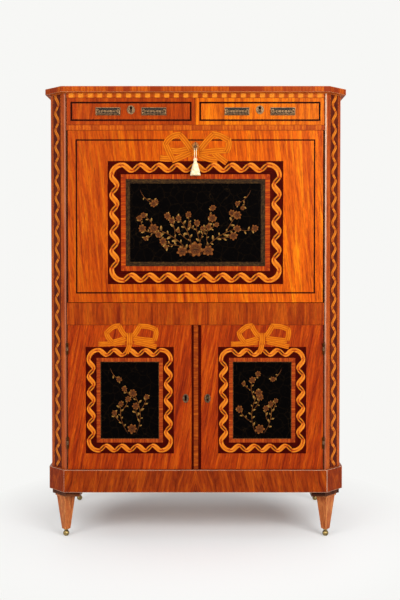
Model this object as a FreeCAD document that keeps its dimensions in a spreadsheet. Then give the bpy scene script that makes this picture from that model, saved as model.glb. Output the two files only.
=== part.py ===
import FreeCAD, Part
import math
import os
from types import SimpleNamespace

import Sketcher

# Escritoire with a fall front, two frieze drawers and a cupboard below.
# Millimetres, +Z up, the front faces -Y, the origin lies on the floor under the middle.

SIZES = {
    # carcass
    "body_width": 938.0,
    "body_depth": 485.0,
    "cant_run": 51.0,
    "post_lip": 7.5,
    "post_depth": 75.0,
    "rail_thickness": 26.0,
    "side_thickness": 22.0,
    "back_thickness": 12.0,
    "deck_thickness": 15.0,
    # heights from the floor up
    "foot_height": 24.0,
    "leg_height": 116.0,
    "block_height": 16.0,
    "plinth_height": 72.0,
    "door_bay_height": 465.0,
    "mid_rail_height": 70.0,
    "fall_bay_height": 550.0,
    "drawer_rail_height": 16.0,
    "drawer_bay_height": 87.0,
    "frieze_height": 14.0,
    "cove_height": 2.0,
    "top_thickness": 18.0,
    # top and plinth
    "top_overhang": 16.0,
    "cove_spread": 4.0,
    "cove_foot": 1.5,
    "plinth_proud": 8.0,
    "plinth_board": 42.0,
    # legs and feet
    "block_inset": 9.5,
    "block_run": 46.0,
    "back_block_side": 70.0,
    "leg_top_side": 44.0,
    "leg_foot_side": 19.5,
    "leg_inset": 20.5,
    "back_leg_inset": 30.0,
    "collar_side": 49.0,
    "collar_height": 6.0,
    "ball_radius": 10.0,
    "ball_flat": 0.8,
    "neck_radius": 4.5,
    "flange_radius": 8.0,
    "flange_height": 3.0,
    # clearances
    "panel_gap": 1.0,
    "slide_gap": 0.4,
    "fit_gap": 0.2,
    "run_gap": 0.05,
    "mortise_gap": 0.6,
    "cut_overrun": 5.0,
    # frieze drawers
    "drawer_front": 20.0,
    "drawer_board": 10.0,
    "drawer_bottom": 6.0,
    "drawer_groove": 8.0,
    "drawer_side_height": 70.0,
    "drawer_rear_gap": 68.0,
    "partition": 12.0,
    "guide_height": 30.0,
    # drawer plates and bails
    "plate_width": 79.0,
    "plate_height": 25.0,
    "plate_thickness": 1.6,
    "plate_offset": 73.0,
    "post_offset": 32.0,
    "post_rise": 4.0,
    "post_radius": 3.0,
    "post_reach": 7.5,
    "bail_wire": 1.5,
    "bail_drop": 13.0,
    "bail_pin_radius": 1.0,
    "bail_pin_length": 2.2,
    "bail_stand": 5.0,
    # escutcheons and locks
    "oval_height": 28.0,
    "oval_width": 25.0,
    "oval_thickness": 1.5,
    "door_oval_width": 20.0,
    "keyhole_radius": 3.4,
    "keyhole_width": 5.0,
    "keyhole_drop": 14.0,
    "keyhole_rise": 11.5,
    "eye_rise": 6.5,
    "lock_width": 60.0,
    "lock_height": 48.0,
    "lock_depth": 12.0,
    "bolt_width": 18.0,
    "bolt_depth": 6.0,
    "bolt_length": 24.0,
    "bolt_throw": 8.0,
    # fall front
    "fall_thickness": 24.0,
    "fall_drop_gap": 2.0,
    "fall_tail": 50.0,
    "stop_gap": 0.4,
    "pivot_radius": 4.0,
    "pivot_hold": 24.0,
    "pivot_reach": 12.0,
    "socket_wall": 3.0,
    "fall_panel_width": 417.0,
    "fall_panel_height": 250.0,
    "fall_panel_base": 129.0,
    "lacquer_thickness": 3.0,
    "leather_thickness": 1.2,
    "leather_side_margin": 55.0,
    "leather_low_margin": 45.0,
    "leather_high_margin": 95.0,
    "fall_lock_width": 80.0,
    "fall_lock_height": 78.0,
    "fall_lock_depth": 14.0,
    "fall_lock_wall": 2.0,
    "fall_key_drop": 51.0,
    "ward_radius": 9.5,
    # key and tassel
    "shank_radius": 2.6,
    "shank_out": 12.0,
    "shank_collar_radius": 4.2,
    "shank_collar_length": 2.5,
    "bow_radius": 11.0,
    "bow_wire": 1.7,
    "bit_reach": 8.5,
    "bit_thickness": 2.4,
    "cord_radius": 0.8,
    "cord_clear": 0.3,
    "cord_drop": 27.0,
    "head_radius": 6.5,
    "tassel_neck_radius": 5.0,
    "tassel_neck_length": 4.0,
    "skirt_top_radius": 7.5,
    "skirt_radius": 17.0,
    "skirt_length": 42.0,
    # doors
    "door_thickness": 22.0,
    "stile_width": 29.0,
    "stile_shift": 3.4,
    "stile_proud": 3.0,
    "meeting_gap": 1.5,
    "door_panel_width": 184.0,
    "door_panel_height": 244.0,
    "door_panel_base": 100.0,
    "door_key_inset": 35.0,
    "door_key_height": 234.5,
    "door_lock_width": 68.0,
    "door_lock_lap": 8.0,
    "door_bolt_height": 14.0,
    "door_bolt_length": 36.0,
    "door_bolt_throw": 14.0,
    "hinge_gap": 2.0,
    "hinge_height": 36.0,
    "hinge_low": 86.0,
    "hinge_high": 75.0,
    "hinge_stand": 4.5,
    "knuckle_radius": 3.8,
    "knuckle_gap": 0.2,
    "hinge_pin_radius": 1.5,
    "leaf_depth": 14.0,
    "leaf_gap": 0.1,
    # cupboard shelf
    "shelf_setback": 95.0,
    "shelf_height": 240.0,
    "batten": 18.0,
    # pigeonholes and small drawers behind the fall
    "unit_setback": 165.0,
    "unit_side_gap": 4.0,
    "unit_board": 8.0,
    "small_bay_height": 95.0,
    "small_front": 10.0,
    "small_side": 6.0,
    "small_bottom": 4.0,
    "small_side_height": 80.0,
    "small_gap": 0.8,
    "small_rear_gap": 63.0,
    "knob_radius": 7.0,
    "knob_stem_radius": 3.5,
    "knob_stem_length": 7.0,
}

# An outline pushed out by some distance lengthens its cants by this share of it.
CANT_GAIN_SHARE = 2 - math.sqrt(2)
# Pigeonhole columns, and tiers above the small drawers.
COLUMNS = 3
TIERS = 2
# A butt hinge has two knuckles on the post and one between them on the door.
KNUCKLES = 3

FRONT_LEG_TURN = 45
X_AXIS = FreeCAD.Vector(1, 0, 0)
Y_AXIS = FreeCAD.Vector(0, 1, 0)
Z_AXIS = FreeCAD.Vector(0, 0, 1)
ALONG = {
    "x": FreeCAD.Rotation(Y_AXIS, 90),
    "y": FreeCAD.Rotation(X_AXIS, -90),
    "z": FreeCAD.Rotation(),
}

doc = FreeCAD.newDocument("Escritoire")
sheet = doc.addObject("Spreadsheet::Sheet", "Sizes")
for row, (alias, value) in enumerate(SIZES.items(), start=1):
    sheet.set(f"A{row}", alias)
    sheet.set(f"B{row}", str(value))
    sheet.setAlias(f"B{row}", alias)
doc.recompute()

NODES = {}


class Term:
    """A length that keeps its value together with the sheet expression that gives it."""

    def __init__(self, text, value):
        self.text = text
        self.value = value

    def __add__(self, other):
        return self._joined("+", other, self.value + _value(other))

    def __sub__(self, other):
        return self._joined("-", other, self.value - _value(other))

    def __mul__(self, other):
        return self._joined("*", other, self.value * _value(other))

    def __truediv__(self, other):
        return self._joined("/", other, self.value / _value(other))

    def __neg__(self):
        return Term(f"(-1 * {self.text})", -self.value)

    def _joined(self, sign, other, value):
        return Term(f"({self.text} {sign} {_text(other)})", value)


def _value(item):
    return item.value if isinstance(item, Term) else item


def _text(item):
    return item.text if isinstance(item, Term) else repr(item)


size = SimpleNamespace(**{alias: Term(f"Sizes.{alias}", value) for alias, value in SIZES.items()})


# Building blocks: each makes one object of the document with its sizes bound to the sheet.

def bind(item, prop, term):
    """Tie a property to the sheet."""
    item.setExpression(prop, _text(term))


def place(item, x, y, z):
    """Tie an object's place to the sheet."""
    for axis, term in zip("xyz", (x, y, z)):
        bind(item, f"Placement.Base.{axis}", term)
    return item


def centred(middle, width):
    """Low and high ends of a width about its middle."""
    return middle - width / 2, middle + width / 2


def both(reach):
    """Low and high ends of a span that is even about the middle plane."""
    return -reach, reach


def grown(span, gap):
    """A span made longer by the same gap at both ends."""
    return span[0] - gap, span[1] + gap


def board(name, x, y, z):
    """A square-edged board between low and high ends along X, Y and Z."""
    box = doc.addObject("Part::Box", name)
    for prop, (low, high) in zip(("Length", "Width", "Height"), (x, y, z)):
        bind(box, prop, high - low)
    return place(box, x[0], y[0], z[0])


def rod(name, along, start, radius, length):
    """A round rod that starts at a point and runs the positive way along an axis."""
    cylinder = doc.addObject("Part::Cylinder", name)
    bind(cylinder, "Radius", radius)
    bind(cylinder, "Height", length)
    cylinder.Placement.Rotation = ALONG[along]
    return place(cylinder, *start)


def ball(name, centre, radius):
    """A whole ball."""
    sphere = doc.addObject("Part::Sphere", name)
    bind(sphere, "Radius", radius)
    return place(sphere, *centre)


def ring(name, along, centre, radius, wire, turn=360):
    """A round wire bent to a ring, or part of one, about an axis."""
    torus = doc.addObject("Part::Torus", name)
    bind(torus, "Radius1", radius)
    bind(torus, "Radius2", wire)
    torus.Angle3 = turn
    torus.Placement.Rotation = ALONG[along]
    return place(torus, *centre)


def taper(name, foot, low_side, high_side, height, turn):
    """A square post that tapers evenly, standing on the middle of its foot."""
    wedge = doc.addObject("Part::Wedge", name)
    for axis in "XZ":
        bind(wedge, f"{axis}min", -low_side / 2)
        bind(wedge, f"{axis}max", low_side / 2)
        bind(wedge, f"{axis}2min", -high_side / 2)
        bind(wedge, f"{axis}2max", high_side / 2)
    wedge.Ymin = 0
    bind(wedge, "Ymax", height)
    upright = FreeCAD.Rotation(X_AXIS, 90)
    wedge.Placement.Rotation = FreeCAD.Rotation(Z_AXIS, turn).multiply(upright)
    return place(wedge, *foot)


def draw(sketch, points):
    """Draw a closed outline whose corners are tied to the sheet."""
    count = len(points)
    corners = [FreeCAD.Vector(x.value, y.value, 0) for x, y in points]
    for index in range(count):
        sketch.addGeometry(Part.LineSegment(corners[index], corners[(index + 1) % count]))
    for index in range(count):
        sketch.addConstraint(Sketcher.Constraint("Coincident", index, 2, (index + 1) % count, 1))
    for index, point in enumerate(points):
        for kind, term in zip(("DistanceX", "DistanceY"), point):
            held = sketch.addConstraint(Sketcher.Constraint(kind, -1, 1, index, 1, term.value))
            sketch.setExpression(f"Constraints[{held}]", term.text)
    return sketch


def prism(name, points, low, high):
    """A board cut to an outline in plan, between two levels."""
    body = doc.addObject("PartDesign::Body", name)
    sketch = body.newObject("Sketcher::SketchObject", f"{name}_outline")
    plane = next(item for item in body.Origin.OriginFeatures if item.Role == "XY_Plane")
    sketch.AttachmentSupport = [(plane, "")]
    sketch.MapMode = "FlatFace"
    draw(sketch, points)
    pad = body.newObject("PartDesign::Pad", f"{name}_pad")
    pad.Profile = sketch
    bind(pad, "Length", high - low)
    bind(body, "Placement.Base.z", low)
    return body


def spread(name, low_points, high_points, low, high):
    """A slab whose outline changes evenly from one level to another."""
    sections = []
    for tag, points, level in (("foot", low_points, low), ("head", high_points, high)):
        sketch = doc.addObject("Sketcher::SketchObject", f"{name}_{tag}")
        bind(draw(sketch, points), "Placement.Base.z", level)
        sections.append(sketch)
    loft = doc.addObject("Part::Loft", name)
    loft.Sections = sections
    loft.Solid = True
    loft.Ruled = True
    return loft


def oval(name, centre, width, height, thickness):
    """A flat oval plate that faces the front, its back on the given point."""
    ellipse = doc.addObject("Part::Ellipse", f"{name}_edge")
    bind(ellipse, "MajorRadius", height / 2)
    bind(ellipse, "MinorRadius", width / 2)
    upright = FreeCAD.Rotation(Z_AXIS, 90)
    ellipse.Placement.Rotation = FreeCAD.Rotation(X_AXIS, 90).multiply(upright)
    place(ellipse, *centre)
    plate = doc.addObject("Part::Extrusion", name)
    plate.Base = ellipse
    plate.DirMode = "Custom"
    plate.Dir = -Y_AXIS
    plate.Solid = True
    bind(plate, "LengthFwd", thickness)
    return plate


def fuse(name, *items):
    """Several shapes joined to one solid."""
    fused = doc.addObject("Part::MultiFuse", name)
    fused.Shapes = list(items)
    fused.Refine = True
    return fused


def cut(name, base, *tools):
    """One shape with others cut out of it."""
    removed = doc.addObject("Part::Cut", name)
    removed.Base = base
    removed.Tool = tools[0] if len(tools) == 1 else fuse(f"{name}_cutter", *tools)
    return removed


def mirror(name, item):
    """The same piece on the other side of the middle plane."""
    other = doc.addObject("Part::Mirroring", name)
    other.Source = item
    other.Normal = X_AXIS
    return other


def group(name, *items):
    """Separate solids kept as one node."""
    compound = doc.addObject("Part::Compound", name)
    compound.Links = list(items)
    return compound


def node(item):
    """Keep an object as a finished sub-part under its label."""
    NODES[item.Label] = item
    return item


def pair(name, right):
    """A right-hand piece and its mirror image as one node."""
    return node(group(name, right, mirror(f"{name}_mirrored", right)))


# Levels, planes and half widths that several pieces share.

key_reach = size.shank_out + size.bow_radius * 2 + size.bow_wire
front = (key_reach - size.body_depth) / 2
back = front + size.body_depth
back_in = back - size.back_thickness
rail_back = front + size.rail_thickness
post_back = front + size.post_depth
half = size.body_width / 2
open_half = half - size.cant_run - size.post_lip
side_in = half - size.side_thickness
middle = size.body_width * 0

block_base = size.foot_height + size.leg_height
plinth_base = block_base + size.block_height
case_base = plinth_base + size.plinth_height
rail_base = case_base + size.door_bay_height
fall_base = rail_base + size.mid_rail_height
fall_head = fall_base + size.fall_bay_height
drawer_base = fall_head + size.drawer_rail_height
drawer_head = drawer_base + size.drawer_bay_height
case_head = drawer_head + size.frieze_height
slab_base = case_head + size.cove_height
top_level = slab_base + size.top_thickness
whole_case = (case_base, case_head)
rail_depth = (front, rail_back)


def corners(offset):
    """Front, cant and back corners of the carcass outline on the right, pushed out by an offset."""
    run = size.cant_run + offset * CANT_GAIN_SHARE
    reach = half + offset
    return [(reach - run, front - offset), (reach, front - offset + run), (reach, back)]


def whole(points):
    """A right-hand half outline closed with its mirror image."""
    return points + [(-x, y) for x, y in reversed(points)]


# Top, posts, sides, back and the boards that span the carcass.

def make_top():
    """Top slab with the sloped cove moulding under its edge."""
    slab = prism("top_slab", whole(corners(size.top_overhang)), slab_base, top_level)
    cove = spread("top_cove", whole(corners(size.cove_foot)), whole(corners(size.cove_spread)),
                  case_head, slab_base)
    node(fuse("top_board", slab, cove))


def make_posts():
    """Canted corner posts, bored for the bushes that the fall turns in."""
    lip = open_half + size.post_lip
    outline = [(open_half, front), (lip, front), (half, front + size.cant_run), (half, post_back),
               (side_in, post_back), (open_half, rail_back)]
    blank = prism("post_blank", outline, *whole_case)
    bore = rod("post_bore", "x", (open_half - size.cut_overrun, pivot_y, pivot_z),
               socket_radius + size.run_gap, size.pivot_reach + size.cut_overrun)
    pair("corner_posts", cut("post_right", blank, bore))


def make_case_boards():
    """Sides, back, rails and the fixed boards between them."""
    pair("side_panels", board("side_right", (side_in, half), (post_back, back), whole_case))
    back_span = (back_in, back)
    lower = board("back_lower", both(side_in), back_span, (case_base, fall_base))
    upper = board("back_upper", both(side_in), back_span, (fall_base, case_head))
    node(group("back_panels", lower, upper))

    frieze = board("frieze_blank", both(open_half), rail_depth, (drawer_head, case_head))
    mortise = bolt_mortise("frieze_mortise", drawer_middle, drawer_bolt_depth, drawer_head)
    node(cut("frieze_rail", frieze, mortise, mirror("frieze_mortise_left", mortise)))
    rail = board("drawer_rail_blank", both(open_half), rail_depth, (fall_head, drawer_base))
    node(cut("drawer_rail", rail, bolt_mortise("fall_mortise", middle, fall_bolt_depth, fall_head)))
    node(board("mid_rail", both(open_half), rail_depth, (rail_base, fall_base)))

    inside = whole([(open_half, rail_back), (side_in, post_back), (side_in, back_in)])
    thick = size.deck_thickness
    node(prism("drawer_deck", inside, drawer_base - thick, drawer_base))
    node(prism("writing_deck", inside, writing_low, writing_top))
    node(prism("dust_board", inside, fall_base - thick, fall_base))
    node(prism("cupboard_floor", inside, case_base, floor_top))

    node(board("drawer_partition", both(size.partition / 2), (rail_back, back_in), (drawer_base, case_head)))
    guide = board("guide_right", (open_half, side_in), (post_back, back_in),
                  (drawer_base, drawer_base + size.guide_height))

    shelf_low = floor_top + size.shelf_height
    shelf_depth = (front + size.shelf_setback, back_in)
    node(board("cupboard_shelf", both(side_in), shelf_depth, (shelf_low, shelf_low + thick)))
    batten = board("batten_right", (side_in - size.batten, side_in), shelf_depth,
                   (shelf_low - size.batten, shelf_low))
    bearers = [guide, batten]
    node(group("bearers", *bearers, *[mirror(f"{item.Name}_left", item) for item in bearers]))


def bolt_mortise(name, centre_x, depth, level):
    """The slot above a level that takes an upward bolt."""
    span = grown(centred(centre_x, size.bolt_width), size.mortise_gap)
    height = size.bolt_throw + size.mortise_gap
    return board(name, span, grown(depth, size.mortise_gap), (level - size.cut_overrun, level + height))


# Plinth, legs and feet.

def make_plinth():
    """Mitred plinth boards round the foot of the carcass, and the back board."""
    outer = corners(size.plinth_proud)
    inner = corners(size.plinth_proud - size.plinth_board)
    levels = (plinth_base, case_base)
    face = prism("plinth_front", whole([outer[0], inner[0]]), *levels)
    cant = prism("plinth_cant", [outer[0], outer[1], inner[1], inner[0]], *levels)
    side = prism("plinth_side", [outer[1], outer[2], inner[2], inner[1]], *levels)
    rear = board("plinth_back", both(inner[2][0]), (back - size.plinth_board, back), levels)
    mirrored = [mirror(f"{item.Name}_left", item) for item in (cant, side)]
    node(group("plinth_boards", face, cant, side, rear, *mirrored))


def make_legs():
    """Blocks, tapered legs and ball feet; the front legs stand square to the cants."""
    levels = (block_base, plinth_base)
    edge = size.plinth_proud - size.block_inset
    face, cant, _rear = corners(edge)
    inner_x = face[0] - size.block_run
    inner_y = cant[1] + size.block_run
    outline = [(inner_x, face[1]), face, cant, (cant[0], inner_y), (inner_x, inner_y)]
    front_block = prism("block_front", outline, *levels)
    side = half + edge
    back_block = board("block_back", (side - size.back_block_side, side), (back - size.back_block_side, back),
                       levels)
    blocks = [front_block, back_block]
    node(group("leg_blocks", *blocks, *[mirror(f"{item.Name}_left", item) for item in blocks]))

    inset = size.cant_run / 2 + size.leg_inset
    front_place = (half - inset, front + inset)
    back_place = (half - size.back_leg_inset, back - size.back_leg_inset)
    pair("front_legs", make_leg("front_leg", front_place, FRONT_LEG_TURN))
    pair("back_legs", make_leg("back_leg", back_place, 0))
    feet = [make_foot("front_foot", front_place), make_foot("back_foot", back_place)]
    node(group("ball_feet", *feet, *[mirror(f"{item.Name}_left", item) for item in feet]))


def make_leg(name, spot, turn):
    """One tapered leg with its square collar."""
    shaft = taper(f"{name}_shaft", (*spot, size.foot_height), size.leg_foot_side, size.leg_top_side,
                  size.leg_height, turn)
    collar = taper(f"{name}_collar", (*spot, block_base - size.collar_height), size.collar_side,
                   size.collar_side, size.collar_height, turn)
    return fuse(name, shaft, collar)


def make_foot(name, spot):
    """One ball foot with its neck and flange, ground flat where it stands."""
    whole_ball = ball(f"{name}_ball", (*spot, size.ball_radius - size.ball_flat), size.ball_radius)
    neck = rod(f"{name}_neck", "z", (*spot, size.ball_radius), size.neck_radius,
               size.foot_height - size.ball_radius)
    flange = rod(f"{name}_flange", "z", (*spot, size.foot_height - size.flange_height), size.flange_radius,
                 size.flange_height)
    below = board(f"{name}_floor", centred(spot[0], size.ball_radius * 2),
                  centred(spot[1], size.ball_radius * 2),
                  (-size.ball_radius, middle))
    return cut(name, fuse(f"{name}_turned", whole_ball, neck, flange), below)


# Escutcheons, locks and bolts.

def make_escutcheon(name, x, z, width):
    """An oval escutcheon with a keyhole whose eye is above its middle, seated on the front plane."""
    plate = oval(f"{name}_plate", (x, front, z - size.eye_rise), width, size.oval_height, size.oval_thickness)
    return cut(name, plate, *make_keyhole(name, x, z, (front - size.oval_thickness, front)))


def make_keyhole(name, x, z, depth):
    """Eye and slot cutters of a keyhole through a depth."""
    slot = board(f"{name}_slot", centred(x, size.keyhole_width), grown(depth, size.cut_overrun),
                 (z - size.keyhole_drop, z))
    return make_keyway(f"{name}_eye", x, z, size.keyhole_radius, depth), slot


def make_keyway(name, x, z, radius, depth):
    """A round keyway cutter through a depth, with an overrun at both ends."""
    low, high = grown(depth, size.cut_overrun)
    return rod(name, "y", (x, low, z), radius, high - low)


# Frieze drawers: the right-hand one is made, and the left is its mirror image.

drawer_span = (size.panel_gap / 2, open_half - size.panel_gap)
drawer_middle = (drawer_span[0] + drawer_span[1]) / 2
drawer_levels = (drawer_base + size.panel_gap, drawer_head - size.panel_gap)
drawer_back = front + size.drawer_front
drawer_lock_depth = (drawer_back - size.lock_depth, drawer_back)
drawer_bolt_depth = centred(drawer_back - size.lock_depth / 2, size.bolt_depth)
drawer_key_z = (drawer_base + drawer_head) / 2 + size.keyhole_rise


def make_drawers():
    """Both frieze drawers with their boxes, brasses, bolts and bails."""
    low, high = drawer_levels
    lock_span = centred(drawer_middle, size.lock_width)
    lock_levels = (high - size.lock_height, high)
    bolt_span = centred(drawer_middle, size.bolt_width)
    bolt_levels = (high - size.bolt_length, high)

    keyhole = make_keyhole("drawer_keyway", drawer_middle, drawer_key_z, (front, drawer_back))
    recess = board("drawer_recess", lock_span, drawer_lock_depth, lock_levels)
    blank = board("drawer_front_blank", drawer_span, (front, drawer_back), drawer_levels)
    face = cut("drawer_right_front", blank, recess, *keyhole)

    case = board("drawer_lock_blank", lock_span, drawer_lock_depth, lock_levels)
    channel = board("drawer_channel", grown(bolt_span, size.fit_gap), grown(drawer_bolt_depth, size.fit_gap),
                    (bolt_levels[0] - size.fit_gap, high + size.cut_overrun))
    lock_keyway = make_keyway("drawer_lock_keyway", drawer_middle, drawer_key_z, size.keyhole_radius,
                              drawer_lock_depth)
    lock = cut("drawer_lock_case", case, channel, lock_keyway)
    bolt = board("drawer_right_bolt", bolt_span, drawer_bolt_depth, bolt_levels)

    plates = []
    bails = []
    for tag, side in (("inner", -1), ("outer", 1)):
        centre = drawer_middle + size.plate_offset * side
        plates.append(make_plate(f"plate_{tag}", centre))
        bails.append(make_bail(f"drawer_right_bail_{tag}", centre))
    oval_plate = make_escutcheon("drawer_escutcheon", drawer_middle, drawer_key_z, size.oval_width)
    brasses = group("drawer_right_brasses", *plates, oval_plate, lock)

    for item in (face, make_drawer_box(low), brasses, bolt, *bails):
        node(item)
        node(mirror(item.Label.replace("right", "left"), item))


def make_drawer_box(low):
    """Sides, back and bottom of a frieze drawer."""
    near = size.partition / 2 + size.slide_gap
    far = open_half - size.panel_gap
    wall = size.drawer_board
    depth = (drawer_back, back_in - size.drawer_rear_gap)
    base = drawer_base + size.slide_gap
    levels = (base, base + size.drawer_side_height)
    sides = [board("box_side_near", (near, near + wall), depth, levels),
             board("box_side_far", (far - wall, far), depth, levels)]
    inside = (near + wall, far - wall)
    rear = board("box_back", inside, (depth[1] - wall, depth[1]), levels)
    floor_low = low + size.drawer_groove
    floor = board("box_bottom", inside, (depth[0], depth[1] - wall),
                  (floor_low, floor_low + size.drawer_bottom))
    return group("drawer_right_box", *sides, rear, floor)


plate_z = (drawer_base + drawer_head) / 2
bail_y = front - size.plate_thickness - size.bail_stand
bail_z = plate_z + size.post_rise


def make_plate(name, centre):
    """A rectangular handle plate with the two bored posts that hold a bail."""
    flat = board(f"{name}_flat", centred(centre, size.plate_width), (front - size.plate_thickness, front),
                 centred(plate_z, size.plate_height))
    stems = []
    bores = []
    for tag, side in (("low", -1), ("high", 1)):
        x = centre + size.post_offset * side
        stems.append(rod(f"{name}_post_{tag}", "y", (x, front - size.post_reach, bail_z), size.post_radius,
                         size.post_reach))
        bores.append(rod(f"{name}_bore_{tag}", "x", (x - size.cut_overrun, bail_y, bail_z),
                         size.bail_pin_radius + size.run_gap, size.cut_overrun * 2))
    return cut(name, fuse(f"{name}_stock", flat, *stems), *bores)


def make_bail(name, centre):
    """A drop bail: a cross bar, two arms and the pins that turn in the posts."""
    wire = size.bail_wire
    reach = size.post_offset + size.post_radius + size.fit_gap + wire
    low = bail_z - size.bail_drop
    pieces = [rod(f"{name}_bar", "x", (centre - reach, bail_y, low), wire, reach * 2)]
    pin = size.bail_pin_length + wire
    for tag, side in (("low", -1), ("high", 1)):
        x = centre + reach * side
        pieces.append(rod(f"{name}_arm_{tag}", "z", (x, bail_y, low), wire, size.bail_drop))
        pieces.append(ball(f"{name}_elbow_{tag}", (x, bail_y, low), wire))
        pieces.append(ball(f"{name}_eye_{tag}", (x, bail_y, bail_z), wire))
        start = x if side < 0 else x - pin
        pieces.append(rod(f"{name}_pin_{tag}", "x", (start, bail_y, bail_z), size.bail_pin_radius, pin))
    return fuse(name, *pieces)


# Fall front: it turns on pins above its lower edge, whose tail stops under the writing deck.

fall_low = fall_base + size.fall_drop_gap
fall_top = fall_head - size.panel_gap
fall_half = open_half - size.panel_gap
fall_back = front + size.fall_thickness
pivot_y = front + size.fall_thickness / 2
pivot_z = fall_low + size.fall_tail
socket_radius = size.pivot_radius + size.run_gap + size.socket_wall
writing_low = pivot_z + size.fall_thickness / 2 + size.stop_gap
writing_top = writing_low + size.deck_thickness
floor_top = case_base + size.deck_thickness
fall_key_z = fall_top - size.fall_key_drop
fall_lock_depth = (fall_back - size.fall_lock_depth, fall_back)
fall_bolt_depth = centred(fall_back - size.fall_lock_depth / 2, size.bolt_depth)


def make_fall():
    """The fall with its lacquer panel, writing leather, pivots, lock and bolt."""
    levels = (fall_low, fall_top)
    panel_low = fall_low + size.fall_panel_base
    panel_levels = (panel_low, panel_low + size.fall_panel_height)
    panel_span = both(size.fall_panel_width / 2)
    panel_back = front + size.lacquer_thickness
    panel = board("fall_lacquer_panel", panel_span, (front, panel_back), panel_levels)
    panel_seat = board("fall_panel_seat", panel_span, (front - size.cut_overrun, panel_back), panel_levels)
    leather_levels = (pivot_z + size.leather_low_margin, fall_top - size.leather_high_margin)
    leather_span = both(fall_half - size.leather_side_margin)
    leather_low = fall_back - size.leather_thickness
    leather = board("fall_writing_leather", leather_span, (leather_low, fall_back), leather_levels)
    leather_seat = board("fall_leather_seat", leather_span, (leather_low, fall_back + size.cut_overrun),
                         leather_levels)
    lock_span = both(size.fall_lock_width / 2)
    lock_levels = (fall_top - size.fall_lock_height, fall_top)
    lock_seat = board("fall_lock_seat", lock_span, fall_lock_depth, lock_levels)
    keyway = make_keyway("fall_keyway", middle, fall_key_z, size.shank_radius + size.fit_gap,
                         (front, fall_back))

    pin = rod("fall_pivot_right", "x", (fall_half - size.pivot_hold, pivot_y, pivot_z), size.pivot_radius,
              size.pivot_hold + size.panel_gap + size.pivot_reach - size.fit_gap)
    pin_seat = rod("fall_pivot_seat", "x", (fall_half - size.pivot_hold, pivot_y, pivot_z),
                   size.pivot_radius + size.run_gap, size.pivot_hold + size.cut_overrun)
    blank = board("fall_blank", both(fall_half), (front, fall_back), levels)
    node(cut("fall_board", blank, panel_seat, leather_seat, lock_seat, keyway, pin_seat,
             mirror("fall_pivot_seat_left", pin_seat)))
    node(panel)
    node(leather)
    pair("fall_pivots", pin)

    bush = rod("socket_blank", "x", (open_half, pivot_y, pivot_z), socket_radius, size.pivot_reach)
    bush_bore = rod("socket_bore", "x", (open_half - size.cut_overrun, pivot_y, pivot_z),
                    size.pivot_radius + size.run_gap, size.pivot_reach + size.cut_overrun * 2)
    pair("fall_pivot_sockets", cut("socket_right", bush, bush_bore))

    bolt_low = fall_key_z + size.ward_radius + size.panel_gap
    bolt_levels = (bolt_low, fall_top)
    bolt_span = both(size.bolt_width / 2)
    ward_depth = (fall_lock_depth[0] + size.fall_lock_wall, fall_back - size.fall_lock_wall)
    case = board("fall_lock_blank", lock_span, fall_lock_depth, lock_levels)
    channel = board("fall_channel", grown(bolt_span, size.fit_gap), grown(fall_bolt_depth, size.fit_gap),
                    (bolt_low - size.fit_gap, fall_top + size.cut_overrun))
    ward = rod("fall_ward", "y", (middle, ward_depth[0], fall_key_z), size.ward_radius,
               ward_depth[1] - ward_depth[0])
    lock_keyway = make_keyway("fall_lock_keyway", middle, fall_key_z, size.shank_radius + size.fit_gap,
                              fall_lock_depth)
    node(cut("fall_lock", case, channel, ward, lock_keyway))
    node(board("fall_bolt", bolt_span, fall_bolt_depth, bolt_levels))

    plate = oval("fall_escutcheon_plate", (middle, front, fall_key_z), size.door_oval_width, size.oval_height,
                 size.oval_thickness)
    eye = make_keyway("fall_escutcheon_eye", middle, fall_key_z, size.shank_radius + size.fit_gap,
                      (front - size.oval_thickness, front))
    node(cut("fall_escutcheon", plate, eye))
    make_key(ward_depth)


# Key with a ring bow, the looped cord through it and the tassel.

bow_y = front - size.shank_out - size.bow_radius
loop_radius = size.bow_wire + size.cord_clear + size.cord_radius
loop_z = fall_key_z - size.bow_radius
head_z = loop_z - size.cord_drop - size.head_radius


def make_key(ward_depth):
    """The key in the lock of the fall."""
    shank_low = bow_y + size.bow_radius
    shank = rod("key_shank", "y", (middle, shank_low, fall_key_z), size.shank_radius,
                ward_depth[1] - size.fit_gap - shank_low)
    collar = rod("key_collar", "y", (middle, shank_low + size.shank_collar_length, fall_key_z),
                 size.shank_collar_radius, size.shank_collar_length)
    bow = ring("key_bow", "x", (middle, bow_y, fall_key_z), size.bow_radius, size.bow_wire)
    bit = board("key_bit", both(size.bit_thickness / 2), grown(ward_depth, -size.panel_gap),
                (fall_key_z - size.bit_reach, fall_key_z))
    node(fuse("key", shank, collar, bow, bit))


def make_tassel():
    """The cord looped through the bow, and the tassel that hangs on it."""
    strand_low = head_z + size.head_radius + size.cord_clear
    strand = loop_z - strand_low
    loop = ring("cord_loop", "y", (middle, bow_y, loop_z), loop_radius, size.cord_radius, 180)
    loop.Placement.Rotation = FreeCAD.Rotation(X_AXIS, 90)
    strands = [rod("cord_strand_left", "z", (-loop_radius, bow_y, strand_low), size.cord_radius, strand),
               rod("cord_strand_right", "z", (loop_radius, bow_y, strand_low), size.cord_radius, strand)]
    node(fuse("tassel_cord", loop, *strands))

    neck_low = head_z - size.head_radius - size.tassel_neck_length
    head = ball("tassel_head", (middle, bow_y, head_z), size.head_radius)
    neck = rod("tassel_neck", "z", (middle, bow_y, neck_low), size.tassel_neck_radius, head_z - neck_low)
    skirt = doc.addObject("Part::Cone", "tassel_skirt")
    bind(skirt, "Radius1", size.skirt_radius)
    bind(skirt, "Radius2", size.skirt_top_radius)
    bind(skirt, "Height", size.skirt_length)
    place(skirt, middle, bow_y, neck_low - size.skirt_length)
    node(fuse("tassel", head, neck, skirt))


# Cupboard doors on butt hinges, with the meeting stile on the right one.

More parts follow.
